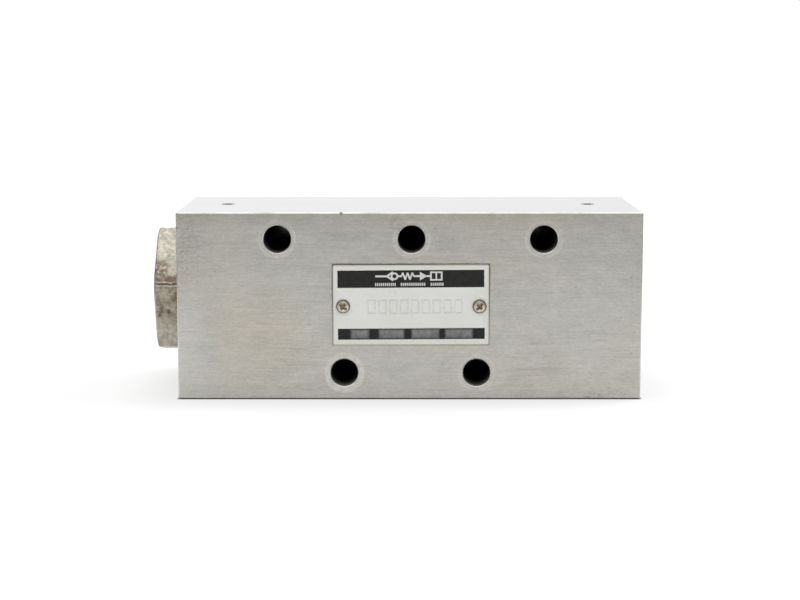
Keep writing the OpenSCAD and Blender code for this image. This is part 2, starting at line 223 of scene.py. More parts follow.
# ---------------------------------------------------------------- ground steel of the block
def ground_steel():
    s = Shade("ground_steel")
    x, y, z = s.xyz(s.mm)
    nx, ny, nz = s.xyz(s.tc.outputs["Normal"])
    end_face = s.span(s.math("ABSOLUTE", nx), 0.6, 0.8)
    front = s.span(ny, -0.75, -0.6, 1.0, 0.0)
    back = s.span(ny, 0.6, 0.75)

    # grinding lines run along X on the long faces and across on the two ends
    wobble = s.noise(s.mm, 0.05, 2.0, 0.5)
    z_w = s.math("ADD", z, s.math("MULTIPLY", wobble, 1.2))
    y_w = s.math("ADD", y, s.math("MULTIPLY", wobble, 1.2))
    along = s.combine(s.math("MULTIPLY", x, 0.05), s.math("MULTIPLY", y_w, 2.6), s.math("MULTIPLY", z_w, 2.6))
    across = s.combine(s.math("MULTIPLY", x, 2.6), s.math("MULTIPLY", y_w, 2.6), s.math("MULTIPLY", z_w, 0.05))
    vec = s.mix(end_face, along, across)
    fine = s.noise(vec, 1.0, 4.0, 0.62)
    long_lines = s.noise(s.mix(end_face, s.mapped(s.mm, (0.022, 0.75, 0.75)), s.mapped(s.mm, (0.75, 0.75, 0.022))),
                         1.0, 3.0, 0.55)
    hair = s.noise(s.mix(end_face, s.mapped(s.mm, (0.09, 7.0, 7.0)), s.mapped(s.mm, (7.0, 7.0, 0.09))), 1.0, 2.0, 0.6)
    blotch = s.noise(s.mapped(s.mm, (0.018, 0.03, 0.034), (3.1, 0.7, 9.4)), 1.0, 3.0, 0.5)
    blotch2 = s.noise(s.mapped(s.mm, (0.05, 0.07, 0.08), (11.0, 4.0, 2.0)), 1.0, 4.0, 0.6)

    # base tone: warm grey with tan and slightly green patches
    tone = s.mix(s.span(blotch, 0.36, 0.66), (0.535, 0.525, 0.498), (0.553, 0.531, 0.485))
    tone = s.mix(s.math("MULTIPLY", s.span(blotch2, 0.5, 0.72), 0.55), tone, (0.508, 0.507, 0.468))
    grain = s.noise(s.mix(end_face, s.mapped(s.mm, (0.55, 2.4, 2.4)), s.mapped(s.mm, (2.4, 2.4, 0.55))), 1.0, 2.0, 0.7)
    dash = s.noise(s.mix(end_face, s.mapped(s.mm, (0.10, 1.9, 1.9), (3, 5, 1)), s.mapped(s.mm, (1.9, 1.9, 0.10), (3, 5, 1))), 1.0, 2.0, 0.6)
    lines = s.math("ADD", s.math("MULTIPLY", s.math("SUBTRACT", fine, 0.5), 0.20),
                   s.math("ADD", s.math("MULTIPLY", s.math("SUBTRACT", long_lines, 0.5), 0.13),
                          s.math("MULTIPLY", s.math("SUBTRACT", hair, 0.5), 0.10)))
    lines = s.math("ADD", lines, s.math("ADD", s.math("MULTIPLY", s.math("SUBTRACT", grain, 0.5), 0.36),
                                        s.math("MULTIPLY", s.math("SUBTRACT", dash, 0.5), 0.22)))
    # painted shade: the nameplate face is painted a little darker towards its top
    lines = s.math("SUBTRACT", lines, s.math("MULTIPLY", s.span(z, -4.0, TOP + 2.0), s.math("MULTIPLY", front, 0.105)))
    cloudy = s.noise(s.mapped(s.mm, (0.10, 0.14, 0.14), (2.0, 6.0, 4.0)), 1.0, 4.0, 0.65)
    lines = s.math("ADD", lines, s.math("MULTIPLY", s.math("SUBTRACT", cloudy, 0.5), 0.30))
    speckle = s.noise(s.mapped(s.mm, (1.7, 1.7, 1.7), (1, 4, 8)), 1.0, 2.0, 0.7)
    lines = s.math("ADD", lines, s.math("MULTIPLY", s.math("SUBTRACT", speckle, 0.5), 0.30))
    # painted light: the nameplate face is painted brighter towards its lower left corner
    painted_light_corner = s.math("MULTIPLY", s.span(x, LEFT, LEFT + 14.0, 1.0, 0.0), s.span(z, -18.0, 4.0, 1.0, 0.0))
    lines = s.math("ADD", lines, s.math("MULTIPLY", s.math("MULTIPLY", painted_light_corner, front), 0.15))
    # painted light: the upper face is painted brighter and more neutral
    upper = s.span(nz, 0.8, 0.95)
    lines = s.math("MULTIPLY", lines, s.span(nz, 0.8, 0.95, 1.0, 0.45))
    factor = s.math("ADD", 1.0, lines)
    tone = s.mix(1.0, tone, s.combine(factor, factor, factor), "MULTIPLY")
    tone = s.mix(s.math("MULTIPLY", upper, 0.85), tone, (0.850, 0.855, 0.862))
    # painted shade: a dark ring round the mouth of each of the two holes in the upper face
    for dx_ in (-72.2, 71.3):
        dd = s.vmath("LENGTH", s.combine(s.math("SUBTRACT", x, dx_), s.math("SUBTRACT", y, -35.5), 0.0))
        top_hole_ring_shade = s.math("MULTIPLY", s.span(dd, 2.62, 2.95, 1.0, 0.0), upper)
        tone = s.mix(s.math("MULTIPLY", top_hole_ring_shade, 0.9), tone, (0.075, 0.072, 0.068))
    # faintly tan areas on the left half
    warm = s.math("MULTIPLY", s.math("MULTIPLY", s.span(s.math("ABSOLUTE", s.math("ADD", x, 59.0)), 9.0, 20.0, 1.0, 0.0),
                                     s.span(s.math("ABSOLUTE", s.math("ADD", z, 14.0)), 9.0, 19.0, 1.0, 0.0)), front)
    tone = s.mix(s.math("MULTIPLY", warm, s.span(cloudy, 0.35, 0.6, 0.35, 1.0)), tone, s.mix(1.0, tone, (1.0, 0.972, 0.915), "MULTIPLY"))

    # thin tan streaks left by coolant and handling, in short runs along the lines
    streak = s.noise(s.mapped(s.mm, (0.035, 0.9, 0.9), (5.0, 1.0, 7.0)), 1.0, 3.0, 0.6)
    patch = s.noise(s.mapped(s.mm, (0.045, 0.06, 0.07), (1.0, 8.0, 3.0)), 1.0, 2.0, 0.5)
    tan = s.math("MULTIPLY", s.span(streak, 0.56, 0.70), s.span(patch, 0.48, 0.64))
    tone = s.mix(s.math("MULTIPLY", tan, s.math("SUBTRACT", s.math("SUBTRACT", 0.6, s.math("MULTIPLY", front, 0.24)), s.math("MULTIPLY", upper, 0.38))), tone, (0.36, 0.325, 0.265))

    # small pits and specks, denser along the upright edges
    pits = s.voronoi(s.mapped(s.mm, (0.55, 0.9, 0.9)), 1.0)
    few = s.noise(s.mm, 0.21, 2.0, 0.5)
    edge = s.span(s.math("ABSOLUTE", x), 80.0, 88.6)
    speck = s.math("MULTIPLY", s.span(pits, 0.05, 0.13, 1.0, 0.0),
                   s.span(s.math("ADD", few, s.math("MULTIPLY", edge, 0.16)), 0.60, 0.68))
    tone = s.mix(s.math("MULTIPLY", speck, 0.6), tone, (0.16, 0.14, 0.12))
    stain_l = s.math("MULTIPLY", s.span(x, -87.0, -72.0, 1.0, 0.0), s.span(z, 2.0, 18.0))
    mott = s.noise(s.mapped(s.mm, (0.35, 0.55, 0.55), (0.0, 2.0, 5.0)), 1.0, 4.0, 0.65)
    mott_f = s.noise(s.mapped(s.mm, (0.8, 1.2, 1.2), (0.0, 2.0, 5.0)), 1.0, 4.0, 0.7)
    stain_l = s.math("MULTIPLY", stain_l, s.math("MULTIPLY", s.span(mott, 0.36, 0.62, 0.3, 1.0), s.span(mott_f, 0.46, 0.62)))
    tone = s.mix(s.math("MULTIPLY", stain_l, s.math("MULTIPLY", front, 0.56)), tone, (0.24, 0.22, 0.20))
    # brown marks in the lower right corner and fixed nicks
    stain_r = s.math("MULTIPLY", s.span(x, 50.0, 66.0), s.math("MULTIPLY", s.span(z, BASE + 1.0, BASE + 11.0, 1.0, 0.0), s.span(mott, 0.50, 0.64)))
    tone = s.mix(s.math("MULTIPLY", stain_r, s.math("MULTIPLY", front, 0.34)), tone, (0.28, 0.245, 0.20))
    nicks = None
    for (px, pz, pr) in ((57.6, 5.0, 0.18), (63.5, 5.4, 0.22), (69.4, BASE + 2.6, 0.28), (71.2, BASE + 2.2, 0.18), (81.0, -6.4, 0.16),
                         (85.2, -20.2, 0.22), (84.6, 9.0, 0.2), (86.4, 22.0, 0.24), (-84.6, 27.6, 0.3), (-80.6, 17.4, 0.26), (-74.2, 11.4, 0.2),
                         (-63.8, 5.8, 0.16), (-38.0, -9.2, 0.2), (-37.2, -13.6, 0.16), (12.6, -24.4, 0.14), (9.8, 27.8, 0.16)):
        v = near(s, (px, pz), pr * 0.5, 0.55)
        nicks = v if nicks is None else s.math("MAXIMUM", nicks, v)
    tone = s.mix(s.math("MULTIPLY", s.math("MULTIPLY", nicks, s.span(speckle, 0.35, 0.6, 0.35, 1.0)), s.math("MULTIPLY", front, 0.42)), tone, (0.17, 0.15, 0.13))
    # painted shade: a dark line on the block along the nameplate's edges, stronger towards the top
    gxp = s.math("SUBTRACT", s.math("ABSOLUTE", s.math("SUBTRACT", x, (plate_lo[0] + plate_hi[0]) / 2)), (plate_hi[0] - plate_lo[0]) / 2)
    gzp = s.math("SUBTRACT", s.math("ABSOLUTE", s.math("SUBTRACT", z, (plate_lo[2] + plate_hi[2]) / 2)), (plate_hi[2] - plate_lo[2]) / 2)
    gap_p = s.math("MAXIMUM", gxp, gzp)
    gap_w = s.math("ADD", 0.42, s.math("MULTIPLY", s.math("SUBTRACT", s.noise(s.mm, 0.5, 3.0, 0.6), 0.5), 0.5))
    plate_edge_shade = s.math("MULTIPLY", s.span(s.math("SUBTRACT", gap_p, gap_w), -0.10, 0.22, 1.0, 0.0),
                   s.span(z, (plate_lo[2] + 2.0), (plate_hi[2] - 6.0), 0.45, 1.0))
    tone = s.mix(s.math("MULTIPLY", plate_edge_shade, s.math("MULTIPLY", front, 0.74)), tone, (0.085, 0.078, 0.066))
    warm_p = s.math("MULTIPLY", s.span(gap_p, 0.0, 4.5, 1.0, 0.0), s.math("MULTIPLY", front, 0.30))
    tone = s.mix(warm_p, tone, s.mix(1.0, tone, (1.0, 0.955, 0.91), "MULTIPLY"))

    # darker, tan band close under the top edge of the front
    under_top = s.math("MULTIPLY", s.span(z, 27.0, 35.0), front)
    tone = s.mix(s.math("MULTIPLY", under_top, s.math("MULTIPLY", s.span(mott, 0.3, 0.62), 0.46)), tone, (0.375, 0.350, 0.285))

    # mounting holes: walls inside painted dark as painted shade, near black deep down, with a painted lit strip low
    # near the mouth; polished rings where screw heads turned
    ring_sum = None
    inner_sum = None
    hole_d = None
    for i, (hx, hz) in enumerate(HOLES):
        dx, dz = s.math("SUBTRACT", x, hx), s.math("SUBTRACT", z, hz)
        d = s.math("SQRT", s.math("ADD", s.math("MULTIPLY", dx, dx), s.math("MULTIPLY", dz, dz)))
        hole_d = d if hole_d is None else s.math("MINIMUM", hole_d, d)
        rough_r = s.math("ADD", d, s.math("MULTIPLY", s.math("SUBTRACT", s.noise(s.mm, 0.55, 2.0, 0.5), 0.5), 0.9))
        width = 7.6 if i == 3 else 7.15
        ring = s.math("MULTIPLY", s.span(rough_r, 5.2, 5.5), s.span(rough_r, width - 0.5, width + 0.35, 1.0, 0.0))
        rim = s.math("MULTIPLY", s.span(rough_r, width - 0.9, width - 0.2), s.span(rough_r, width, width + 0.5, 1.0, 0.0))
        v = s.math("ADD", s.math("MULTIPLY", ring, 0.95 if i == 3 else 0.32), s.math("MULTIPLY", rim, 0.44))
        v = s.math("MULTIPLY", v, s.span(s.math("SUBTRACT", dz, s.math("MULTIPLY", dx, 0.35)), -1.0, 7.0, 1.0, 0.50))
        ring_sum = v if ring_sum is None else s.math("ADD", ring_sum, v)
        w = s.span(d, HOLE_R + 0.12, HOLE_R + 0.3, 1.0, 0.0)
        inner_sum = w if inner_sum is None else s.math("MAXIMUM", inner_sum, w)
    ring_break = s.span(s.noise(s.mm, 0.42, 3.0, 0.6), 0.36, 0.6, 0.34, 1.0)
    ring_f = s.math("MULTIPLY", s.math("MULTIPLY", ring_sum, ring_break), front, clamp=True)
    tone = s.mix(s.math("MULTIPLY", ring_f, 0.80), tone, (0.668, 0.658, 0.610))
    inside = s.math("MULTIPLY", inner_sum, s.span(s.math("ABSOLUTE", s.math("SUBTRACT", y, AXIS_Y)), 34.8, 35.2, 1.0, 0.0))
    row_z = s.span(z, MID_Z - 1.0, MID_Z + 1.0, ROW_LOW, ROW_UP)
    in_row = s.math("SUBTRACT", z, row_z)
    # painted light on the lower wall near the mouth; painted shade, darker still deeper in
    lit = s.math("MULTIPLY", s.span(in_row, -1.2, -4.6), s.span(y, FRONT + 0.6, FRONT + 13.0, 1.0, 0.0))
    hole_wall_light_and_shade = s.mix(s.math("MULTIPLY", lit, 0.9), s.mix(s.span(y, FRONT + 24.0, FRONT + 30.0), (0.012, 0.011, 0.009), (0.002, 0.002, 0.002)), (0.215, 0.190, 0.150))
    tone = s.mix(s.math("MULTIPLY", inside, 0.985), tone, hole_wall_light_and_shade)

    # scuffs over the upper middle hole and dark dots on the front's edges
    scuff = s.math("MULTIPLY", near(s, (-4.5, TOP - 4.6), 1.0, 3.6), s.span(s.noise(s.mapped(s.mm, (0.5, 1.0, 1.6)), 1.0, 3.0, 0.6), 0.46, 0.58))
    tone = s.mix(s.math("MULTIPLY", s.math("MULTIPLY", scuff, front), 0.55), tone, (0.27, 0.25, 0.22))
    dot = s.math("MULTIPLY", s.math("MULTIPLY", near(s, (-26.0, TOP - 0.2), 0.3, 0.5), s.span(y, FRONT + 0.2, FRONT + 1.2, 1.0, 0.0)), 0.85)
    tone = s.mix(dot, tone, (0.10, 0.09, 0.08))

    # oil film round the ports on the mounting face
    port_oil = None
    for px, pr in ((14.0, 11.5), (-13.5, 11.5), (69.0, 6.0), (40.0, 6.0)):
        d = s.vmath("LENGTH", s.combine(s.math("SUBTRACT", x, px), 0.0, z))
        d = s.math("ADD", d, s.math("MULTIPLY", s.noise(s.mm, 0.12, 3.0, 0.5), 5.0))
        v = s.span(d, pr + 1.0, pr + 9.0, 1.0, 0.0)
        port_oil = v if port_oil is None else s.math("MAXIMUM", port_oil, v)
    oil = s.math("MULTIPLY", port_oil, back)
    tone = s.mix(s.math("MULTIPLY", oil, 0.38), tone, (0.34, 0.31, 0.25))

    # chamfers on every edge painted bright: partly rubbed wear, partly painted highlight
    square = s.math("MAXIMUM", s.math("ABSOLUTE", nx), s.math("MAXIMUM", s.math("ABSOLUTE", ny), s.math("ABSOLUTE", nz)))
    edge_wear_and_highlight = s.math("MULTIPLY", s.span(square, 0.80, 0.92, 1.0, 0.0), s.math("SUBTRACT", 1.0, inside))
    tone = s.mix(s.math("MULTIPLY", edge_wear_and_highlight, s.span(cloudy, 0.30, 0.60, 0.45, 1.0)), tone, (0.78, 0.775, 0.755))
    # painted shade: the upright front edges are painted darker, most of all in their upper half; hole mouths are evenly
    # rubbed and carry a painted highlight, paler on their upper side
    upright_edge_shade = s.math("MULTIPLY", s.math("MULTIPLY", edge_wear_and_highlight, s.span(s.math("ABSOLUTE", nz), 0.15, 0.3, 1.0, 0.0)), s.span(s.math("ABSOLUTE", x), 87.0, 88.0))
    tone = s.mix(s.math("MULTIPLY", upright_edge_shade, s.span(z, -8.0, 12.0, 0.35, 0.92)), tone, s.mix(s.span(mott, 0.42, 0.6), (0.36, 0.35, 0.325), (0.20, 0.19, 0.175)))
    # hole mouths painted bright: partly rubbed wear, partly painted highlight
    mouth_wear_and_highlight = s.math("MULTIPLY", edge_wear_and_highlight, s.math("MULTIPLY", s.span(s.math("ABSOLUTE", x), 60.0, 62.0, 1.0, 0.0), s.span(s.math("ABSOLUTE", in_row), 5.7, 6.0, 1.0, 0.0)))
    tone = s.mix(mouth_wear_and_highlight, tone, s.mix(s.span(in_row, -4.0, 2.0), (0.70, 0.69, 0.65), (0.92, 0.91, 0.88)))
    # painted shade: the inner part of each hole's mouth painted near black
    mouth_lip_shade = s.math("MULTIPLY", mouth_wear_and_highlight, s.span(hole_d, 5.26, 5.38, 1.0, 0.0))
    tone = s.mix(s.math("MULTIPLY", mouth_lip_shade, 0.93), tone, (0.05, 0.047, 0.04))
    tone = s.mix(dot, tone, (0.10, 0.085, 0.07))
    rough = s.math("ADD", 0.40, s.math("MULTIPLY", s.math("SUBTRACT", fine, 0.5), 0.22))
    rough = s.math("ADD", rough, s.math("MULTIPLY", s.math("SUBTRACT", blotch2, 0.5), 0.16))
    rough = s.math("SUBTRACT", rough, s.math("MULTIPLY", ring_f, 0.06))
    rough = s.math("SUBTRACT", rough, s.math("MULTIPLY", edge_wear_and_highlight, 0.08))
    rough = s.math("SUBTRACT", rough, s.math("MULTIPLY", oil, 0.14))
    rough = s.math("ADD", rough, s.math("MULTIPLY", inside, 0.75), clamp=True)
    height = s.math("ADD", s.math("MULTIPLY", fine, 0.6), s.math("MULTIPLY", hair, 0.4))
    height = s.math("SUBTRACT", height, s.math("MULTIPLY", speck, 1.2))
    normal = s.bump(height, 0.32, 0.00004)
    s.set(colour=tone, metal=s.math("SUBTRACT", 1.0, s.math("MULTIPLY", inside, 0.96)), rough=rough, normal=normal)
    return s.mat


# ---------------------------------------------------------------- plated hexagon plug
def plug_steel():
    s = Shade("plug_steel")
    x, y, z = s.xyz(s.mm)
    cloud = s.noise(s.mm, 0.16, 5.0, 0.62)
    grit = s.noise(s.mapped(s.mm, (1.0, 1.0, 1.0), (4, 9, 1)), 1.1, 4.0, 0.7)
    worms = s.noise(s.mapped(s.mm, (0.55, 0.55, 0.55), (7, 3, 2)), 1.0, 3.0, 0.5, 1.6)
    tone = s.mix(s.span(cloud, 0.35, 0.68), (0.735, 0.705, 0.620), (0.610, 0.578, 0.484))
    tone = s.mix(s.math("MULTIPLY", s.span(grit, 0.42, 0.7), 0.35), tone, (0.52, 0.485, 0.40))
    tone = s.mix(s.math("MULTIPLY", s.span(worms, 0.56, 0.62), 0.35), tone, (0.42, 0.38, 0.30))
    # brown stains, most of them near the corner that faces the front
    here = s.math("MULTIPLY", s.span(z, 4.6, 5.4), s.span(z, 12.0, 15.2, 1.0, 0.0))
    left = s.math("MAXIMUM", s.span(x, -95.6, -93.0, 1.0, 0.25), s.span(z, 7.6, 9.6, 0.95, 0.0))
    patch_a = s.math("MULTIPLY", s.math("MULTIPLY", here, left), s.span(y, -40.0, -48.0))
    band_b = s.math("MULTIPLY", s.span(z, -12.0, -6.0), s.span(z, 5.4, 6.4, 1.0, 0.0))
    patch_b = s.math("MULTIPLY", band_b, s.span(y, -48.0, -52.0))
    rust_n = s.noise(s.mapped(s.mm, (0.34, 0.34, 0.34), (1.5, 0, 3)), 1.0, 5.0, 0.65)
    elsewhere = s.span(rust_n, 0.60, 0.72)
    rust_f = s.noise(s.mapped(s.mm, (0.62, 0.62, 0.62), (8.5, 2, 3)), 1.0, 5.0, 0.7)
    both = s.math("ADD", s.math("MULTIPLY", rust_n, 0.5), s.math("MULTIPLY", rust_f, 0.5))
    amount = s.math("ADD", s.math("MULTIPLY", patch_a, s.span(both, 0.40, 0.52)),
                    s.math("MULTIPLY", patch_b, s.span(both, 0.44, 0.56, 0.08, 0.80)))
    amount = s.math("ADD", amount, s.math("MULTIPLY", elsewhere, 0.6), clamp=True)
    # painted shade: the hexagon's lower front flats painted darker
    lower_flat_shade = s.math("MULTIPLY", s.span(z, 4.9, 5.6, 1.0, 0.0), s.span(y, -47.0, -50.0))
    tone = s.mix(s.math("MULTIPLY", lower_flat_shade, 0.56), tone, (0.33, 0.302, 0.232))
    nx, ny, nz = s.xyz(s.tc.outputs["Normal"])
    face = s.span(nx, -0.90, -0.97)
    fleck = s.math("MULTIPLY", s.span(rust_f, 0.42, 0.60, -0.15, 0.15), s.math("SUBTRACT", 1.0, s.math("MULTIPLY", face, 0.72)))
    ry, rz = s.math("SUBTRACT", y, AXIS_Y), z
    rr = s.math("SQRT", s.math("ADD", s.math("MULTIPLY", ry, ry), s.math("MULTIPLY", rz, rz)))
    turned_marks = s.noise(s.combine(s.math("MULTIPLY", rr, 2.2), 0.0, 0.0), 1.0, 3.0, 0.6)
    fleck = s.math("ADD", fleck, s.math("MULTIPLY", face, s.math("MULTIPLY", s.math("SUBTRACT", turned_marks, 0.5), 0.42)))
    dirt = s.math("MULTIPLY", face, s.math("ADD", s.span(rr, 23.4, 24.9, 0.0, 0.30), s.span(rr, 2.6, 5.0, 0.45, 0.0)))
    fleck = s.math("SUBTRACT", fleck, dirt)
    fl = s.math("ADD", 1.0, fleck)
    tone = s.mix(1.0, tone, s.combine(fl, fl, fl), "MULTIPLY")
    # dark veins of grime, thicker towards the front corner
    vein_n = s.noise(s.mapped(s.mm, (0.42, 0.42, 0.42), (3, 1, 6)), 1.0, 4.0, 0.62, 0.8)
    veins = s.span(s.math("ABSOLUTE", s.math("SUBTRACT", vein_n, 0.5)), 0.008, 0.045, 1.0, 0.0)
    veins = s.math("MULTIPLY", veins, s.span(s.noise(s.mm, 0.11, 2.0, 0.5), 0.38, 0.6, 0.15, 1.0))
    tone = s.mix(s.math("MULTIPLY", veins, 0.55), tone, (0.27, 0.245, 0.185))
    blots = s.span(s.noise(s.mapped(s.mm, (0.75, 0.75, 0.75), (2, 8, 5)), 1.0, 4.0, 0.7), 0.57, 0.68)
    tone = s.mix(s.math("MULTIPLY", blots, 0.40), tone, (0.22, 0.19, 0.14))
    brown = s.mix(s.span(grit, 0.35, 0.65), (0.140, 0.085, 0.046), (0.275, 0.196, 0.128))
    orange = s.math("MULTIPLY", near(s, (-96.0, 12.0), 0.9, 3.0), s.span(grit, 0.38, 0.56))
    brown = s.mix(s.math("MULTIPLY", orange, 0.85), brown, (0.39, 0.225, 0.095))
    tone = s.mix(s.math("MULTIPLY", amount, 0.9), tone, brown)
    spots = s.math("MAXIMUM", s.math("MAXIMUM", near(s, (-96.2, -4.9), 0.5, 1.5), near(s, (-93.9, -5.9), 0.3, 1.3)), near(s, (-97.3, -7.6), 0.25, 1.0))
    spots = s.math("MULTIPLY", s.math("MULTIPLY", spots, s.span(grit, 0.38, 0.56)), s.span(y, -50.0, -54.0))
    tone = s.mix(s.math("MULTIPLY", spots, 0.75), tone, (0.085, 0.055, 0.035))
    rough = s.math("ADD", 0.46, s.math("MULTIPLY", amount, 0.22))
    rough = s.math("ADD", rough, s.math("MULTIPLY", s.math("SUBTRACT", grit, 0.5), 0.3), clamp=True)
    # the corner that faces the front: a dark line between two bright ones, the dark partly grime and partly painted
    # shade in the groove, the bright partly worn metal and partly painted highlight on the ridges
    cy0, cz0 = AXIS_Y - 26.8 * math.cos(TURN), 26.8 * math.sin(TURN)
    across = s.math("ADD", s.math("MULTIPLY", s.math("SUBTRACT", y, cy0), math.sin(TURN)), s.math("MULTIPLY", s.math("SUBTRACT", z, cz0), math.cos(TURN)))
    across = s.math("ADD", across, s.math("MULTIPLY", s.math("SUBTRACT", s.noise(s.mapped(s.mm, (0.55, 0.05, 0.05)), 1.0, 3.0, 0.6), 0.5), 1.5))
    worn = s.noise(s.mapped(s.mm, (0.8, 0.3, 0.3), (1, 3, 9)), 1.0, 2.0, 0.5)
    near_y = s.span(y, -57.6, -59.6)
    worn_ridge_highlight = s.math("MULTIPLY", s.span(s.math("ABSOLUTE", s.math("SUBTRACT", s.math("ABSOLUTE", across), 0.68)), 0.06, 0.34, 1.0, 0.0), near_y)
    groove_grime_and_shade = s.math("MULTIPLY", s.span(s.math("ABSOLUTE", across), 0.06, 0.36, 1.0, 0.0), near_y)
    tone = s.mix(s.math("MULTIPLY", worn_ridge_highlight, s.span(worn, 0.38, 0.56, 0.15, 0.95)), tone, (0.78, 0.76, 0.68))
    tone = s.mix(s.math("MULTIPLY", groove_grime_and_shade, s.span(worn, 0.36, 0.6, 0.95, 0.45)), tone, (0.075, 0.062, 0.05))
    # the turned chamfer is darker
    turned = s.math("MULTIPLY", s.span(nx, -0.30, -0.55), s.span(nx, -0.975, -0.93))
    tone = s.mix(s.math("MULTIPLY", turned, 0.85), tone, (0.17, 0.16, 0.14))
    # line where the flats begin: dark above the front corner, pale below it
    begin = s.math("MULTIPLY", s.span(x, plug_lo[0] + 0.30, plug_lo[0] + 0.62, 1.0, 0.0), s.span(nx, -0.5, -0.3))
    tone = s.mix(s.math("MULTIPLY", begin, 0.8), tone, s.mix(s.span(z, 1.0, 4.0), (0.55, 0.54, 0.48), (0.16, 0.15, 0.13)))
    metal = s.span(amount, 0.0, 1.0, 0.8, 0.25)
    height = s.math("ADD", s.math("MULTIPLY", grit, 0.5), s.math("MULTIPLY", worms, 0.5))
    s.set(colour=tone, metal=metal, rough=rough, normal=s.bump(height, 0.45, 0.00012))
    return s.mat


# ---------------------------------------------------------------- other materials
def hardened_steel():
    s = Shade("hardened_steel")
    x, y, z = s.xyz(s.mm)
    turned_lines = s.noise(s.mapped(s.mm, (3.5, 0.05, 0.05)), 1.0, 3.0, 0.6)
    cloud = s.noise(s.mm, 0.12, 3.0, 0.5)
    tone = s.mix(s.span(cloud, 0.35, 0.65), (0.50, 0.495, 0.48), (0.42, 0.415, 0.40))
    k = s.math("ADD", 0.92, s.math("MULTIPLY", turned_lines, 0.16))
    tone = s.mix(1.0, tone, s.combine(k, k, k), "MULTIPLY")
    rough = s.math("ADD", 0.24, s.math("MULTIPLY", turned_lines, 0.18))
    s.set(colour=tone, metal=1.0, rough=rough, normal=s.bump(turned_lines, 0.25, 0.00003))
    return s.mat


def dimple_steel():
    """Expander plugs and balls in the top face, painted dark as painted shade of their recesses."""
    s = Shade("dimple_steel")
    cloud = s.noise(s.mm, 0.9, 4.0, 0.6)
    grit = s.noise(s.mm, 3.2, 3.0, 0.6)
    tone = s.mix(s.span(cloud, 0.36, 0.64), (0.115, 0.110, 0.102), (0.205, 0.198, 0.185))
    tone = s.mix(s.math("MULTIPLY", s.span(grit, 0.58, 0.70), 0.5), tone, (0.33, 0.32, 0.30))
    rough = s.math("ADD", 0.50, s.math("MULTIPLY", cloud, 0.22))
    s.set(colour=tone, metal=0.85, rough=rough, normal=s.bump(grit, 0.3, 0.00004))
    return s.mat


def blackened_steel():
    s = Shade("blackened_steel")
    cloud = s.noise(s.mm, 0.25, 5.0, 0.6)
    grit = s.noise(s.mm, 1.6, 3.0, 0.6)
    tone = s.mix(s.span(cloud, 0.38, 0.66), (0.060, 0.058, 0.056), (0.120, 0.112, 0.102))
    worn = s.math("MULTIPLY", s.span(grit, 0.60, 0.72), 0.5)
    tone = s.mix(worn, tone, (0.26, 0.24, 0.21))
    rough = s.math("ADD", 0.46, s.math("MULTIPLY", cloud, 0.28))
    s.set(colour=tone, metal=0.9, rough=rough, normal=s.bump(grit, 0.3, 0.00006))
    return s.mat


def spring_steel():
    s = Shade("spring_steel")
    n = s.noise(s.mm, 0.9, 4.0, 0.6)
    tone = s.mix(s.span(n, 0.3, 0.7), (0.14, 0.14, 0.145), (0.27, 0.265, 0.26))
    s.set(colour=tone, metal=1.0, rough=s.span(n, 0.3, 0.7, 0.26, 0.40), normal=s.bump(n, 0.2, 0.00004))
    return s.mat


def orifice_brass():
    s = Shade("orifice_brass")
    n = s.noise(s.mapped(s.mm, (0.2, 4.0, 0.2)), 1.0, 4.0, 0.6)
    tone = s.mix(n, (0.62, 0.46, 0.20), (0.48, 0.34, 0.14))
    s.set(colour=tone, metal=1.0, rough=s.span(n, 0.2, 0.8, 0.25, 0.45), normal=s.bump(n, 0.3, 0.00003))
    return s.mat


def seal_rubber():
    s = Shade("seal_rubber")
    n = s.noise(s.mm, 0.8, 5.0, 0.6)
    fine = s.noise(s.mm, 7.0, 3.0, 0.6)
    tone = s.mix(s.span(n, 0.35, 0.7), (0.012, 0.012, 0.012), (0.035, 0.034, 0.032))
    s.set(colour=tone, metal=0.0, rough=s.span(n, 0.3, 0.7, 0.38, 0.58), normal=s.bump(fine, 0.25, 0.00004), specular=0.5)
    return s.mat


def backup_plastic():
    s = Shade("backup_plastic")
    n = s.noise(s.mm, 0.5, 4.0, 0.6)
    tone = s.mix(n, (0.76, 0.74, 0.68), (0.84, 0.82, 0.77))
    s.set(colour=tone, metal=0.0, rough=s.span(n, 0.3, 0.7, 0.42, 0.56), normal=s.bump(n, 0.2, 0.00004))
    return s.mat


P_Y = plate_lo[1]


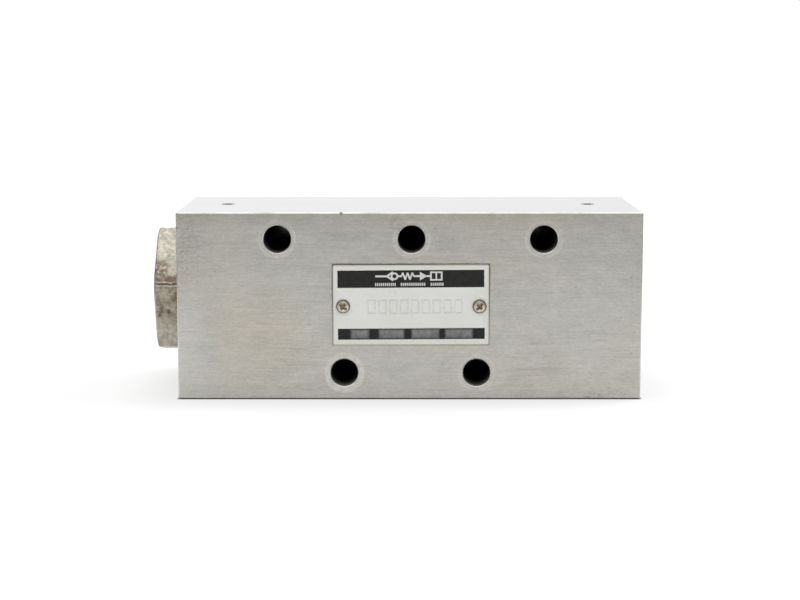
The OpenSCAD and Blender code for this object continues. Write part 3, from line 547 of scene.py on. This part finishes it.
def screw_steel():
    s = Shade("screw_steel")
    x, y, z = s.xyz(s.mm)
    n = s.noise(s.mm, 1.3, 5.0, 0.65)
    fine = s.noise(s.mm, 5.0, 3.0, 0.6)
    tone = s.mix(s.span(n, 0.36, 0.62), (0.50, 0.455, 0.37), (0.36, 0.31, 0.24))
    tone = s.mix(s.math("MULTIPLY", s.span(fine, 0.55, 0.7), 0.5), tone, (0.22, 0.17, 0.12))
    # painted shadow round the rim of each head, painted shade in the cross recess and a painted highlight on the crown
    sx = s.math("SUBTRACT", s.math("ABSOLUTE", s.math("SUBTRACT", x, (screws_lo[0] + screws_hi[0]) / 2)), (screws_hi[0] - screws_lo[0]) / 2 - 2.65)
    sz = s.math("SUBTRACT", z, (screws_lo[2] + screws_hi[2]) / 2)
    r = s.math("SQRT", s.math("ADD", s.math("MULTIPLY", sx, sx), s.math("MULTIPLY", sz, sz)))
    crown_highlight = s.math("MULTIPLY", s.span(r, 0.9, 1.2), s.span(r, 1.95, 2.2, 1.0, 0.0))
    tone = s.mix(s.math("MULTIPLY", crown_highlight, s.span(n, 0.36, 0.6, 1.0, 0.5)), tone, (0.72, 0.69, 0.585))
    # painted shadow round the rim of the head
    tone = s.mix(s.math("MULTIPLY", s.span(r, 2.05, 2.4), 0.85), tone, (0.13, 0.10, 0.07))
    recess_shade = s.math("MULTIPLY", s.span(y, P_Y - 1.12, P_Y - 0.88), s.span(r, 1.7, 1.9, 1.0, 0.0))
    tone = s.mix(s.math("MULTIPLY", recess_shade, s.span(fine, 0.40, 0.60, 0.80, 0.40)), tone, (0.125, 0.092, 0.058))
    s.set(colour=tone, metal=0.9, rough=s.span(n, 0.3, 0.7, 0.30, 0.52), normal=s.bump(fine, 0.35, 0.00005))
    return s.mat


TILT = math.radians(0.35)     # the plate sits very slightly turned
STAMP_Z = -0.48
STAMPS = [(-15.0 + 4.15 * i, 1.6, 2.75) for i in range(9)]


def plate_aluminium():
    s = Shade("plate_aluminium")
    x, y, z = s.xyz(s.mm)
    brush = s.noise(s.mapped(s.mm, (0.08, 1.0, 5.0)), 1.0, 3.0, 0.6)
    cloud = s.noise(s.mapped(s.mm, (0.05, 0.05, 0.09), (2, 2, 2)), 1.0, 3.0, 0.5)
    cx, cz = (plate_lo[0] + plate_hi[0]) / 2, (plate_lo[2] + plate_hi[2]) / 2
    ex = s.span(s.math("ABSOLUTE", s.math("SUBTRACT", x, cx)), 27.2, 29.4)
    ez = s.span(s.math("ABSOLUTE", s.math("SUBTRACT", z, cz)), 12.8, 14.8)
    border = s.math("MAXIMUM", ex, ez)
    tone = s.mix(s.span(cloud, 0.35, 0.65), (0.862, 0.868, 0.835), (0.825, 0.828, 0.792))
    tone = s.mix(s.math("MULTIPLY", border, 0.75), tone, (0.800, 0.785, 0.720))
    k = s.math("ADD", 0.965, s.math("MULTIPLY", brush, 0.07))
    tone = s.mix(1.0, tone, s.combine(k, k, k), "MULTIPLY")
    grime = s.math("MULTIPLY", s.span(s.noise(s.mm, 0.7, 4.0, 0.6), 0.60, 0.72), 0.22)
    tone = s.mix(grime, tone, (0.42, 0.39, 0.33))
    # the pressed strokes of the blank stamp row are painted darker, and painted shade darkens the plate's edge all
    # round
    rim = s.math("MAXIMUM", s.span(s.math("ABSOLUTE", s.math("SUBTRACT", x, cx)), (plate_hi[0] - plate_lo[0]) / 2 - 0.35, (plate_hi[0] - plate_lo[0]) / 2 - 0.1),
                 s.span(s.math("ABSOLUTE", s.math("SUBTRACT", z, cz)), (plate_hi[2] - plate_lo[2]) / 2 - 0.35, (plate_hi[2] - plate_lo[2]) / 2 - 0.1))
    tone = s.mix(s.math("MULTIPLY", rim, 0.55), tone, (0.30, 0.285, 0.25))
    dx0, dz0 = s.math("SUBTRACT", x, cx), s.math("SUBTRACT", z, cz)
    tx = s.math("ADD", s.math("MULTIPLY", dx0, math.cos(TILT)), s.math("MULTIPLY", dz0, math.sin(TILT)))
    tz = s.math("SUBTRACT", s.math("MULTIPLY", dz0, math.cos(TILT)), s.math("MULTIPLY", dx0, math.sin(TILT)))
    strokes = None
    for (mx, hw, hh_) in STAMPS:
        adx = s.math("SUBTRACT", s.math("ABSOLUTE", s.math("SUBTRACT", tx, mx)), hw)
        adz = s.math("SUBTRACT", s.math("ABSOLUTE", s.math("SUBTRACT", tz, STAMP_Z)), hh_)
        o = s.math("ABSOLUTE", s.math("ADD", s.math("MAXIMUM", adx, adz), 0.25))
        v = s.span(o, 0.12, 0.42, 1.0, 0.0)
        strokes = v if strokes is None else s.math("MAXIMUM", strokes, v)
    faded = s.span(s.noise(s.mapped(s.mm, (0.5, 0.5, 0.5), (6, 1, 2)), 1.0, 3.0, 0.6), 0.36, 0.62, 0.25, 1.0)
    tone = s.mix(s.math("MULTIPLY", strokes, s.math("MULTIPLY", faded, 0.36)), tone, (0.42, 0.415, 0.38))
    wx = s.math("ADD", tx, s.math("MULTIPLY", s.math("SUBTRACT", s.noise(s.mm, 1.6, 3.0, 0.6), 0.5), 0.22))
    wz = s.math("ADD", s.math("ADD", tz, (plate_lo[2] + plate_hi[2]) / 2 - MID_Z), s.math("MULTIPLY", s.math("SUBTRACT", s.noise(s.mapped(s.mm, (1, 1, 1), (9, 9, 9)), 1.6, 3.0, 0.6), 0.5), 0.22))
    off = (plate_lo[0] + plate_hi[0]) / 2

    def block(x0, x1, z0, z1, soft=0.10):
        hx = s.math("ABSOLUTE", s.math("SUBTRACT", wx, (x0 + x1) / 2 - off))
        hz = s.math("ABSOLUTE", s.math("SUBTRACT", wz, (z0 + z1) / 2))
        d = s.math("MAXIMUM", s.math("SUBTRACT", hx, (x1 - x0) / 2), s.math("SUBTRACT", hz, (z1 - z0) / 2))
        return s.span(d, -soft, soft, 1.0, 0.0)

    bands = s.math("MAXIMUM", block(-27.45, 28.55, 7.32, 14.03), block(-27.43, 28.73, -12.67, -8.40))
    ink_n = s.noise(s.mm, 0.5, 5.0, 0.6)
    ink = s.mix(s.span(ink_n, 0.35, 0.7), (0.0105, 0.0105, 0.0100), (0.0165, 0.0165, 0.0155))
    fields = None
    for (x0, x1) in ((-22.31, -15.72), (-11.63, -2.33), (0.93, 11.07), (13.82, 23.89)):
        f = block(x0, x1, -12.2, -8.9, 0.75)
        fields = f if fields is None else s.math("MAXIMUM", fields, f)
    fade_z = s.span(wz, -12.4, -9.2, 0.72, 1.0)
    grey = s.mix(s.span(s.noise(s.mapped(s.mm, (0.5, 1.0, 0.35)), 1.0, 3.0, 0.6), 0.35, 0.65), (0.195, 0.195, 0.193), (0.285, 0.285, 0.282))
    ink = s.mix(s.math("MULTIPLY", fields, fade_z), ink, grey)
    tone = s.mix(s.math("MULTIPLY", bands, 0.985), tone, ink)
    metal = s.math("SUBTRACT", 0.35, s.math("MULTIPLY", bands, 0.35))
    rough = s.math("ADD", s.span(brush, 0.3, 0.7, 0.44, 0.56), s.math("MULTIPLY", bands, 0.10))
    s.set(colour=tone, metal=metal, rough=rough, normal=s.bump(brush, 0.15, 0.00003), specular=0.15)
    return s.mat


def symbol_paint():
    s = Shade("symbol_paint")
    n = s.noise(s.mm, 2.0, 4.0, 0.6)
    tone = s.mix(s.span(n, 0.3, 0.75), (0.80, 0.80, 0.78), (0.62, 0.62, 0.60))
    s.set(colour=tone, metal=0.0, rough=s.span(n, 0.3, 0.7, 0.45, 0.6))
    return s.mat


M = dict(
    ground_steel=ground_steel(), plug_steel=plug_steel(), hardened_steel=hardened_steel(),
    blackened_steel=blackened_steel(), spring_steel=spring_steel(), orifice_brass=orifice_brass(),
    seal_rubber=seal_rubber(), backup_plastic=backup_plastic(), screw_steel=screw_steel(),
    nameplate_aluminium=plate_aluminium(), symbol_paint=symbol_paint(), dimple_steel=dimple_steel(),
)
slot_of = {p["node"]: p["material_slot"] for p in frame["record"]["subparts"]}
for name, obj in nodes.items():
    obj.data.materials.clear()
    obj.data.materials.append(M["dimple_steel" if name.startswith("cross_drilling") else slot_of[name]])

# ---------------------------------------------------------------- mesh helpers
def make(name, verts, faces, mat, body="housing", replaces=None, angle=35.0):
    """Mesh object from points in mm, riding on a body."""
    mesh = bpy.data.meshes.new(name)
    mesh.from_pydata([tuple(c * MM for c in v) for v in verts], [], faces)
    mesh.validate()
    mesh.update()
    for p in mesh.polygons:
        p.use_smooth = True
    mesh.set_sharp_from_angle(angle=math.radians(angle))
    obj = bpy.data.objects.new(name, mesh)
    scene.collection.objects.link(obj)
    mesh.materials.append(mat)
    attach(obj, body)
    if replaces:
        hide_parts(replaces)
    return obj


def lathe(rows, n, close_start=True, close_end=True):
    """Closed skin through rings of n points; rows is a list of n-point rings."""
    verts = [tuple(p) for row in rows for p in row]
    faces = []
    for i in range(len(rows) - 1):
        for j in range(n):
            k = (j + 1) % n
            faces.append((i * n + j, i * n + k, (i + 1) * n + k, (i + 1) * n + j))
    if close_start:
        c = np.mean(np.array(rows[0]), axis=0)
        verts.append(tuple(c))
        a = len(verts) - 1
        faces += [(a, (j + 1) % n, j) for j in range(n)]
    if close_end:
        c = np.mean(np.array(rows[-1]), axis=0)
        verts.append(tuple(c))
        a = len(verts) - 1
        b = (len(rows) - 1) * n
        faces += [(a, b + j, b + (j + 1) % n) for j in range(n)]
    return verts, faces


def step(v, a, b):
    t = min(max((v - a) / (b - a), 0.0), 1.0)
    return t * t * (3 - 2 * t)


# ---------------------------------------------------------------- hexagon plug at the spring end
def build_plug():
    tip = plug_lo[0]
    nose = plug_hi[0]
    turn = TURN
    inr = 47.0 / 2
    rc, ang = 25.2, math.radians(33)
    k = math.radians(60)
    th = []
    for v in range(6):
        base = turn + v * k
        fine = [math.radians(a) for a in np.arange(-3.2, 3.2001, 0.32)]
        coarse = [math.radians(a) for a in np.arange(4.4, 56.0, 1.2)]
        th += [base + a for a in fine] + [base + a for a in coarse]
    n = len(th)
    th = np.array(th)
    loc = (th - turn + k / 2) % k - k / 2
    rho = np.zeros(n)
    for f in range(6):
        c = np.cos(th - (turn + k / 2 + f * k))
        rho += np.where(c > 0, (np.maximum(c, 1e-6) / inr) ** 56, 0.0)
    rho = rho ** (-1 / 56)

    def ring(x, r):
        x = np.broadcast_to(x, (n,))
        r = np.broadcast_to(r, (n,))
        return np.stack([x, AXIS_Y - r * np.cos(th), r * np.sin(th)], axis=1)

    rows = []
    # lathe centre and end face
    for r, x in ((0.15, tip + 2.5), (1.0, tip + 1.65), (1.9, tip + 0.75), (2.55, tip + 0.1), (2.75, tip)):
        rows.append(ring(x, r))
    rend = np.minimum(rho, rc)
    for t in np.linspace(0.08, 1.0, 26):
        r = 2.75 + (rend - 0.12 - 2.75) * t
        rows.append(ring(tip + 0.012 * np.sin(r * 6.0), r))
    rows.append(ring(tip + 0.05, rend))
    xedge = tip + np.maximum(rho - rc, 0) * math.tan(ang)
    for t in (0.25, 0.5, 0.75, 0.93):
        rows.append(ring(tip + 0.06 + (xedge - tip) * t, rend + (rho - rend) * t))
    # side of the hexagon, with a raised, worn burr along each corner
    groove = -0.16 * np.exp(-((loc / math.radians(0.62)) ** 2))
    burr = 0.05 * np.exp(-(((np.abs(loc) - math.radians(1.75)) / math.radians(0.75)) ** 2))
    m = 34
    for i in range(m + 1):
        t = i / m
        x = xedge + 0.14 + (LEFT + 0.02 - xedge - 0.14) * t
        r = rho.copy()
        for j in range(n):
            p = Vector((x[j] * 0.28, math.cos(th[j]) * 4.5, math.sin(th[j]) * 4.5))
            r[j] += 0.075 * noise.noise(p) + 0.035 * noise.noise(p * 3.1)
            w = noise.noise(Vector((x[j] * 0.5, float(round(math.degrees(th[j] - loc[j]))), 1.7)))
            r[j] += (groove[j] + burr[j]) * (0.75 + 0.9 * w) * step(t, 0.0, 0.10)
        for (ex, eth, depth, size) in ((-96.2, 11.4, 0.5, 1.5), (-92.4, 11.4, 0.35, 1.1), (-95.4, 71.4, 0.55, 1.4),
                                       (-91.0, 311.4, 0.45, 1.4), (-96.6, 251.4, 0.5, 1.6), (-93.6, 131.4, 0.4, 1.2),
                                       (-94.4, 191.4, 0.5, 1.5), (-94.8, 330.0, 0.16, 1.1), (-92.6, 28.0, 0.14, 1.3)):
            d2 = (x - ex) ** 2 + (((th - math.radians(eth) + math.pi) % (2 * math.pi) - math.pi) * 27) ** 2
            r -= depth * np.exp(-d2 / size ** 2)
        rows.append(ring(x, r))
    rows.append(ring(LEFT + 0.04, np.minimum(rho, 23.4)))
    rows.append(ring(LEFT + 0.04, 22.35))
    rows.append(ring(LEFT + 0.1, 18.95))
    rows.append(ring(LEFT + 3.3, 18.9))
    # thread as rings, 12 to the inch
    pitch = 25.4 / 12
    x0 = LEFT + 3.4
    for i in range(4):
        for (dx, r) in ((0.0, 19.42), (0.36, 20.35), (0.45, 20.5), (0.57, 20.5), (0.66, 20.35), (0.98, 19.42)):
            rows.append(ring(x0 + (i + dx) * pitch, r))
    rows.append(ring(x0 + 4.05 * pitch, 18.9))
    rows.append(ring(-75.5, 18.85))
    rows.append(ring(-75.35, 15.0))
    rows.append(ring(nose - 0.5, 14.98))
    rows.append(ring(nose - 0.02, 14.5))
    rows.append(ring(nose, 13.0))
    rows.append(ring(nose, 8.6))
    rows.append(ring(nose - 0.4, 8.22))
    rows.append(ring(-79.7, 8.2))
    rows.append(ring(-80.0, 7.9))
    rows.append(ring(-80.0, 0.6))
    verts, faces = lathe([list(map(tuple, r)) for r in rows], n)
    return make("end_plug_body", verts, faces, M["plug_steel"], replaces="end_plug", angle=24)


build_plug()


# ---------------------------------------------------------------- nameplate
PX, PZ = (plate_lo[0] + plate_hi[0]) / 2, (plate_lo[2] + plate_hi[2]) / 2
PW, PH = plate_hi[0] - plate_lo[0], plate_hi[2] - plate_lo[2]
P_FRONT, P_BACK = plate_lo[1], plate_hi[1]
SCREWS = [((screws_lo[0] + 2.65), (screws_lo[2] + screws_hi[2]) / 2), ((screws_hi[0] - 2.65), (screws_lo[2] + screws_hi[2]) / 2)]


def plate_height(x, z):
    """Displacement of the plate's face along -Y, in mm; x and z from the plate's middle."""
    h = 0.035 * noise.noise(Vector((x * 0.09, z * 0.12, 4.2))) + 0.012 * noise.noise(Vector((x * 0.5, z * 0.5, 1.1)))
    for (mx, hw, hh_) in STAMPS:
        outer = max(abs(x - mx) - hw, abs(z - STAMP_Z) - hh_)
        if outer < 1.0:
            h -= 0.12 * math.exp(-((outer + 0.25) / 0.30) ** 2)
    for (sx, sz) in SCREWS:
        r = math.hypot(x + PX - sx, z + PZ - sz)
        h -= 0.11 * math.exp(-((r - 2.2) / 1.0) ** 2)
    return h


def tilted(x, z):
    return (PX + x * math.cos(TILT) - z * math.sin(TILT), PZ + x * math.sin(TILT) + z * math.cos(TILT))


def build_plate():
    nx, nz = 340, 180
    c = 0.9
    xs = np.linspace(-PW / 2, PW / 2, nx)
    zs = np.linspace(-PH / 2, PH / 2, nz)
    verts, faces = [], []

    def inset(x, z):
        # pull the corners in to a radius c
        ax, az = abs(x) - (PW / 2 - c), abs(z) - (PH / 2 - c)
        if ax > 0 and az > 0:
            m = max(ax, az)
            l = math.hypot(ax, az)
            k = m / l
            return math.copysign(PW / 2 - c + ax * k, x), math.copysign(PH / 2 - c + az * k, z)
        return x, z

    for j, z in enumerate(zs):
        for i, x in enumerate(xs):
            qx, qz = inset(x, z)
            e = min(PW / 2 - abs(x), PH / 2 - abs(z))
            roll = 0.13 * max(0.0, 1 - e / 0.42) ** 2
            wx, wz = tilted(qx, qz)
            verts.append((wx, P_FRONT + roll - plate_height(qx, qz) * (1 if e > 0.5 else 0), wz))
    top = len(verts)
    for j, z in enumerate(zs):
        for i, x in enumerate(xs):
            if i in (0, nx - 1) or j in (0, nz - 1):
                qx, qz = inset(x, z)
                wx, wz = tilted(qx, qz)
                verts.append((wx, P_BACK, wz))
    idx = {}
    q = top
    for j in range(nz):
        for i in range(nx):
            if i in (0, nx - 1) or j in (0, nz - 1):
                idx[(i, j)] = q
                q += 1
    for j in range(nz - 1):
        for i in range(nx - 1):
            a = j * nx + i
            faces.append((a, a + 1, a + nx + 1, a + nx))
    loop = [(i, 0) for i in range(nx)] + [(nx - 1, j) for j in range(1, nz)] + \
           [(i, nz - 1) for i in range(nx - 2, -1, -1)] + [(0, j) for j in range(nz - 2, 0, -1)]
    for a, b in zip(loop, loop[1:] + loop[:1]):
        faces.append((b[1] * nx + b[0], a[1] * nx + a[0], idx[a], idx[b]))
    faces.append(tuple(idx[a] for a in loop))
    return make("nameplate_sheet", verts, faces, M["nameplate_aluminium"], replaces="nameplate", angle=40)


build_plate()


def prism(name, outline, mat, slot, y0=0.0, t=0.05, holes=()):
    """Flat raised shape on the plate; outline points are (x, z) from the plate's middle."""
    n = len(outline)
    f = P_FRONT - y0
    flat = [tilted(x, z) for x, z in outline]
    verts = [(wx, f - t - plate_height(x, z) * 0.5, wz) for (x, z), (wx, wz) in zip(outline, flat)]
    verts += [(wx, f + 0.12, wz) for wx, wz in flat]
    faces = [tuple(range(n)), tuple(range(2 * n - 1, n - 1, -1))]
    faces += [(i, i + n, (i + 1) % n + n, (i + 1) % n) for i in range(n)]
    return verts, faces


def join(name, parts, mat):
    verts, faces = [], []
    for v, f in parts:
        o = len(verts)
        verts += v
        faces += [tuple(i + o for i in g) for g in f]
    return make(name, verts, faces, mat, angle=30)


def bar(x0, z0, x1, z1, w):
    d = math.hypot(x1 - x0, z1 - z0)
    ux, uz = (x1 - x0) / d, (z1 - z0) / d
    px, pz = -uz * w / 2, ux * w / 2
    return prism("", [(x0 + px, z0 + pz), (x0 - px, z0 - pz), (x1 - px, z1 - pz), (x1 + px, z1 + pz)], None, None)


def hoop(cx, cz, r, w, n=40):
    f = P_FRONT
    verts, faces = [], []
    for ri, yy in ((r + w / 2, -0.05), (r - w / 2, -0.05), (r - w / 2, 0.12), (r + w / 2, 0.12)):
        for i in range(n):
            a = 2 * math.pi * i / n
            x, z = cx + ri * math.cos(a), cz + ri * math.sin(a)
            wx, wz = tilted(x, z)
            verts.append((wx, f + yy, wz))
    for r0 in range(4):
        r1 = (r0 + 1) % 4
        for i in range(n):
            k = (i + 1) % n
            faces.append((r0 * n + i, r1 * n + i, r1 * n + k, r0 * n + k))
    return verts, faces


# plain circuit symbol of a check valve with its pilot line, in the black band
cz = (14.03 + 7.32) / 2 - 0.64
sym = []
z1 = cz + 1.05
sx0 = -0.93
thick = 0.74


def sbar(x0, za, x1, zb, w=thick):
    return bar(sx0 + x0, za, sx0 + x1, zb, w)


sym += [sbar(-12.6, z1, -8.0, z1), sbar(-8.2, z1, -5.8, z1 + 1.6), sbar(-8.2, z1, -5.8, z1 - 1.6),
        hoop(sx0 - 5.3, z1, 1.12, 0.7), sbar(-4.1, z1, -2.5, z1)]
zig = [(-2.6, z1), (-2.1, z1 + 1.35), (-1.2, z1 - 1.35), (-0.3, z1 + 1.35), (0.6, z1 - 1.35), (1.5, z1 + 1.35), (2.0, z1)]
sym += [sbar(a[0], a[1], b[0], b[1], 0.62) for a, b in zip(zig, zig[1:])]
sym += [sbar(2.0, z1, 4.6, z1), prism("", [(sx0 + 4.4, z1 + 1.65), (sx0 + 4.4, z1 - 1.65), (sx0 + 7.3, z1)], None, None),
        sbar(7.0, z1, 8.6, z1), sbar(8.6, z1 - 1.65, 8.6, z1 + 1.65, 0.66), sbar(12.7, z1 - 1.65, 12.7, z1 + 1.65, 0.66),
        sbar(8.3, z1 + 1.45, 13.0, z1 + 1.45, 0.6), sbar(8.3, z1 - 1.45, 13.0, z1 - 1.45, 0.6), sbar(10.65, z1 - 1.5, 10.65, z1 + 1.5, 0.6)]
# below it three groups of plain, evenly spaced ticks
z2 = cz - 2.1
for first, count in ((-12.7, 11), (-2.9, 13), (8.5, 7)):
    for i in range(count):
        a = sx0 + first + 0.74 * i
        sym.append(bar(a, z2, a + 0.46, z2, 1.15))
join("nameplate_symbol", sym, M["symbol_paint"])


# ---------------------------------------------------------------- nameplate screws
def build_screws():
    parts = []
    y_seat = P_FRONT
    for (sx, sz), turn in zip(SCREWS, (-38.0, 47.0)):
        n = 168
        radii = list(np.arange(0.05, 2.35, 0.055)) + [2.4, 2.48, 2.55, 2.6, 2.64, 2.65]
        rows = []
        seed = sx
        for r in radii:
            row = []
            for j in range(n):
                a = 2 * math.pi * j / n
                u, v = r * math.cos(a), r * math.sin(a)
                h = math.sqrt(max(4.3 ** 2 - r * r, 0)) - 2.9
                h -= 0.25 * step(r, 2.35, 2.65)
                h += 0.035 * noise.noise(Vector((u * 1.3, v * 1.3, seed)))
                c, sn = math.cos(math.radians(turn)), math.sin(math.radians(turn))
                p, q = u * c + v * sn, -u * sn + v * c
                d = 9.0
                for (l, w, reach, half) in ((p, q, 1.62, 0.44), (q, p, 1.22, 0.40)):
                    arm = reach + 0.16 * noise.noise(Vector((seed, l, 2.0)))
                    wide = half + 0.20 * noise.noise(Vector((l * 1.1, w * 1.1, seed)))
                    d = min(d, max(abs(l) - arm, abs(w) - wide))
                depth = (1 - step(d, -0.16, 0.07)) * (0.72 + 0.25 * (1 - min(r / 1.6, 1.0)))
                row.append((sx + u, y_seat - (h - depth), sz + v))
            rows.append(row)
        for r, y in ((2.66, 0.2), (2.62, 0.02), (2.45, 0.0), (1.42, 0.02), (1.38, 6.3), (0.9, 6.95)):
            yy = y_seat + (y if y > 0.5 else -y)
            rows.append([(sx + r * math.cos(2 * math.pi * j / n), yy, sz + r * math.sin(2 * math.pi * j / n)) for j in range(n)])
        parts.append(lathe(rows, n))
    verts, faces = [], []
    for v, f in parts:
        o = len(verts)
        verts += v
        faces += [tuple(reversed([i + o for i in g])) for g in f]
    return make("nameplate_screw_pair", verts, faces, M["screw_steel"], replaces="nameplate_screws", angle=50)


build_screws()


# ---------------------------------------------------------------- springs
def coil_points(x0, x1, mean_r, w, n, a0, a1, seg=40, sides=14):
    """Wire of a compression spring between turns a0 and a1 of n."""
    pe = 1.06 * w
    pm = (x1 - x0 - w - 2 * pe) / (n - 2)

    def along(t):
        if t < 1:
            return pe * t
        if t < n - 1:
            return pe + pm * (t - 1)
        return pe + pm * (n - 2) + pe * (t - n + 1)

    rows = []
    steps = int(round((a1 - a0) * seg))
    for i in range(steps + 1):
        t = a0 + (a1 - a0) * i / steps
        a = 2 * math.pi * t
        row = []
        for j in range(sides):
            b = 2 * math.pi * j / sides
            x = x0 + w / 2 + along(t) + math.sin(b) * w / 2
            x = min(max(x, x0 + 0.12), x1 - 0.12)
            r = mean_r + math.cos(b) * w / 2
            row.append((x, AXIS_Y + r * math.cos(a), r * math.sin(a)))
        rows.append(row)
    verts, faces = lathe(rows, sides)
    return verts, [tuple(reversed(f)) for f in faces]


sp_lo, sp_hi = (np.array(v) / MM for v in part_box("poppet_spring"))
rs_lo, rs_hi = (np.array(v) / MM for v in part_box("piston_return_spring"))
v, f = coil_points(sp_lo[0], sp_hi[0], 6.5, 2.2, 12, 0.0, 5.9985)
spring_a = make("poppet_spring_fixed_half", v, f, M["spring_steel"], replaces="poppet_spring", angle=60)
v, f = coil_points(sp_lo[0], sp_hi[0], 6.5, 2.2, 12, 6.0015, 12.0)
spring_b = make("poppet_spring_moving_half", v, f, M["spring_steel"], body="piston_group", angle=60)
v, f = coil_points(rs_lo[0], rs_hi[0], 9.4, 1.6, 5, 0.0, 5.0)
spring_c = make("return_spring_wire", v, f, M["spring_steel"], replaces="piston_return_spring", angle=60)
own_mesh(spring_a)
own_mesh(spring_b)
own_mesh(spring_c)

WORLD_FRONT, WORLD_TOP = 0.28, 1.08
# ---------------------------------------------------------------- stage and light
floor_mesh = bpy.data.meshes.new("floor")
R_FLOOR, SEG = 7.0, 96
ring = [(R_FLOOR * math.cos(2 * math.pi * i / SEG), R_FLOOR * math.sin(2 * math.pi * i / SEG), 0.0) for i in range(SEG)]
floor_mesh.from_pydata([(0.0, 0.0, 0.0)] + ring, [], [(0, 1 + i, 1 + (i + 1) % SEG) for i in range(SEG)])
floor = bpy.data.objects.new("floor", floor_mesh)
floor.location = (0.0, AXIS_Y * MM, BASE * MM - 0.00004)
scene.collection.objects.link(floor)
fs = Shade("floor_white")
fx, fy, _ = fs.xyz(fs.mm)
# painted shadow: the floor's glow is zero under the block, comes back within 0.9 mm of its footprint and stays a little
# dimmer out to 30 mm
gx = fs.math("MAXIMUM", fs.math("SUBTRACT", fs.math("ABSOLUTE", fx), RIGHT), 0.0)
gy = fs.math("MAXIMUM", fs.math("SUBTRACT", fs.math("ABSOLUTE", fy), (body_hi[1] - body_lo[1]) / 2), 0.0)
gap = fs.math("SQRT", fs.math("ADD", fs.math("MULTIPLY", gx, gx), fs.math("MULTIPLY", gy, gy)))
contact_shadow = fs.span(gap, 0.0, 0.9, 0.0, 0.90)
fade = fs.span(gap, 0.0, 30.0, 0.885, 1.0)
floor_glow_with_shadow = fs.math("MULTIPLY", fs.math("MULTIPLY", contact_shadow, 1.0 / 0.90), fade)
f_add = fs.node("ShaderNodeAddShader")
f_dif = fs.node("ShaderNodeBsdfDiffuse")
f_emi = fs.node("ShaderNodeEmission")
f_dif.inputs["Color"].default_value = (0.30, 0.30, 0.30, 1)
f_emi.inputs["Color"].default_value = (1, 1, 1, 1)
fs.put(f_emi.inputs["Strength"], fs.math("MULTIPLY", floor_glow_with_shadow, 0.715))
fs.t.links.new(f_dif.outputs[0], f_add.inputs[0])
fs.t.links.new(f_emi.outputs[0], f_add.inputs[1])
fs.t.links.new(f_add.outputs[0], fs.out.inputs[0])
fs.t.nodes.remove(fs.bsdf)
floor_mesh.materials.append(fs.mat)

world = bpy.data.worlds.new("studio")
scene.world = world
world.use_nodes = True
wt = world.node_tree
wt.nodes.clear()


def wn(kind, **props):
    n = wt.nodes.new(kind)
    for k, v in props.items():
        setattr(n, k, v)
    return n


def w_span(f, a, b, c, d):
    n = wn("ShaderNodeMapRange", interpolation_type="SMOOTHSTEP")
    wt.links.new(f, n.inputs[0])
    for i, v in zip((1, 2, 3, 4), (a, b, c, d)):
        n.inputs[i].default_value = v
    return n.outputs[0]


def w_math(op, a, b):
    n = wn("ShaderNodeMath", operation=op)
    for s_, v in zip(n.inputs, (a, b)):
        if isinstance(v, float):
            s_.default_value = v
        else:
            wt.links.new(v, s_)
    return n.outputs[0]


w_out = wn("ShaderNodeOutputWorld")
w_bg = wn("ShaderNodeBackground")
w_cam = wn("ShaderNodeBackground")
w_mix = wn("ShaderNodeMixShader")
w_path = wn("ShaderNodeLightPath")
w_tc = wn("ShaderNodeTexCoord")
w_sep = wn("ShaderNodeSeparateXYZ")
wt.links.new(w_tc.outputs["Generated"], w_sep.inputs[0])
behind = w_span(w_sep.outputs["Y"], -0.75, 0.45, WORLD_FRONT, 1.0)
above = w_math("MULTIPLY", w_span(w_sep.outputs["Z"], 0.42, 0.96, 0.0, WORLD_TOP), w_span(w_sep.outputs["Y"], -0.1, 0.55, 1.0, 0.38))
side = w_span(w_sep.outputs["X"], -1.0, 1.0, 1.14, 0.90)
lower_part = w_span(w_sep.outputs["Z"], 0.50, 0.94, 1.0, 0.48)
wt.links.new(w_math("MULTIPLY", w_math("ADD", w_math("MULTIPLY", behind, lower_part), above), side), w_bg.inputs["Strength"])
w_bg.inputs["Color"].default_value = (1, 1, 1, 1)
w_cam.inputs["Color"].default_value = (1, 1, 1, 1)
w_cam.inputs["Strength"].default_value = 1.0
wt.links.new(w_path.outputs["Is Camera Ray"], w_mix.inputs[0])
wt.links.new(w_bg.outputs[0], w_mix.inputs[1])
wt.links.new(w_cam.outputs[0], w_mix.inputs[2])
wt.links.new(w_mix.outputs[0], w_out.inputs[0])


def area(name, loc, target, size, power):
    d = bpy.data.lights.new(name, "AREA")
    d.shape = "RECTANGLE"
    d.size, d.size_y = size
    d.energy = power
    o = bpy.data.objects.new(name, d)
    scene.collection.objects.link(o)
    o.location = loc
    o.rotation_euler = (Vector(target) - Vector(loc)).to_track_quat("-Z", "Y").to_euler()
    o.visible_glossy = False
    return o


area("key_right", (1.1, 0.5, 1.3), (0.0, -0.036, 0.0), (0.9, 0.9), 14.0)

scene.view_settings.view_transform = "Standard"
scene.view_settings.look = "None"
scene.view_settings.exposure = 0.0
scene.view_settings.gamma = 1.0
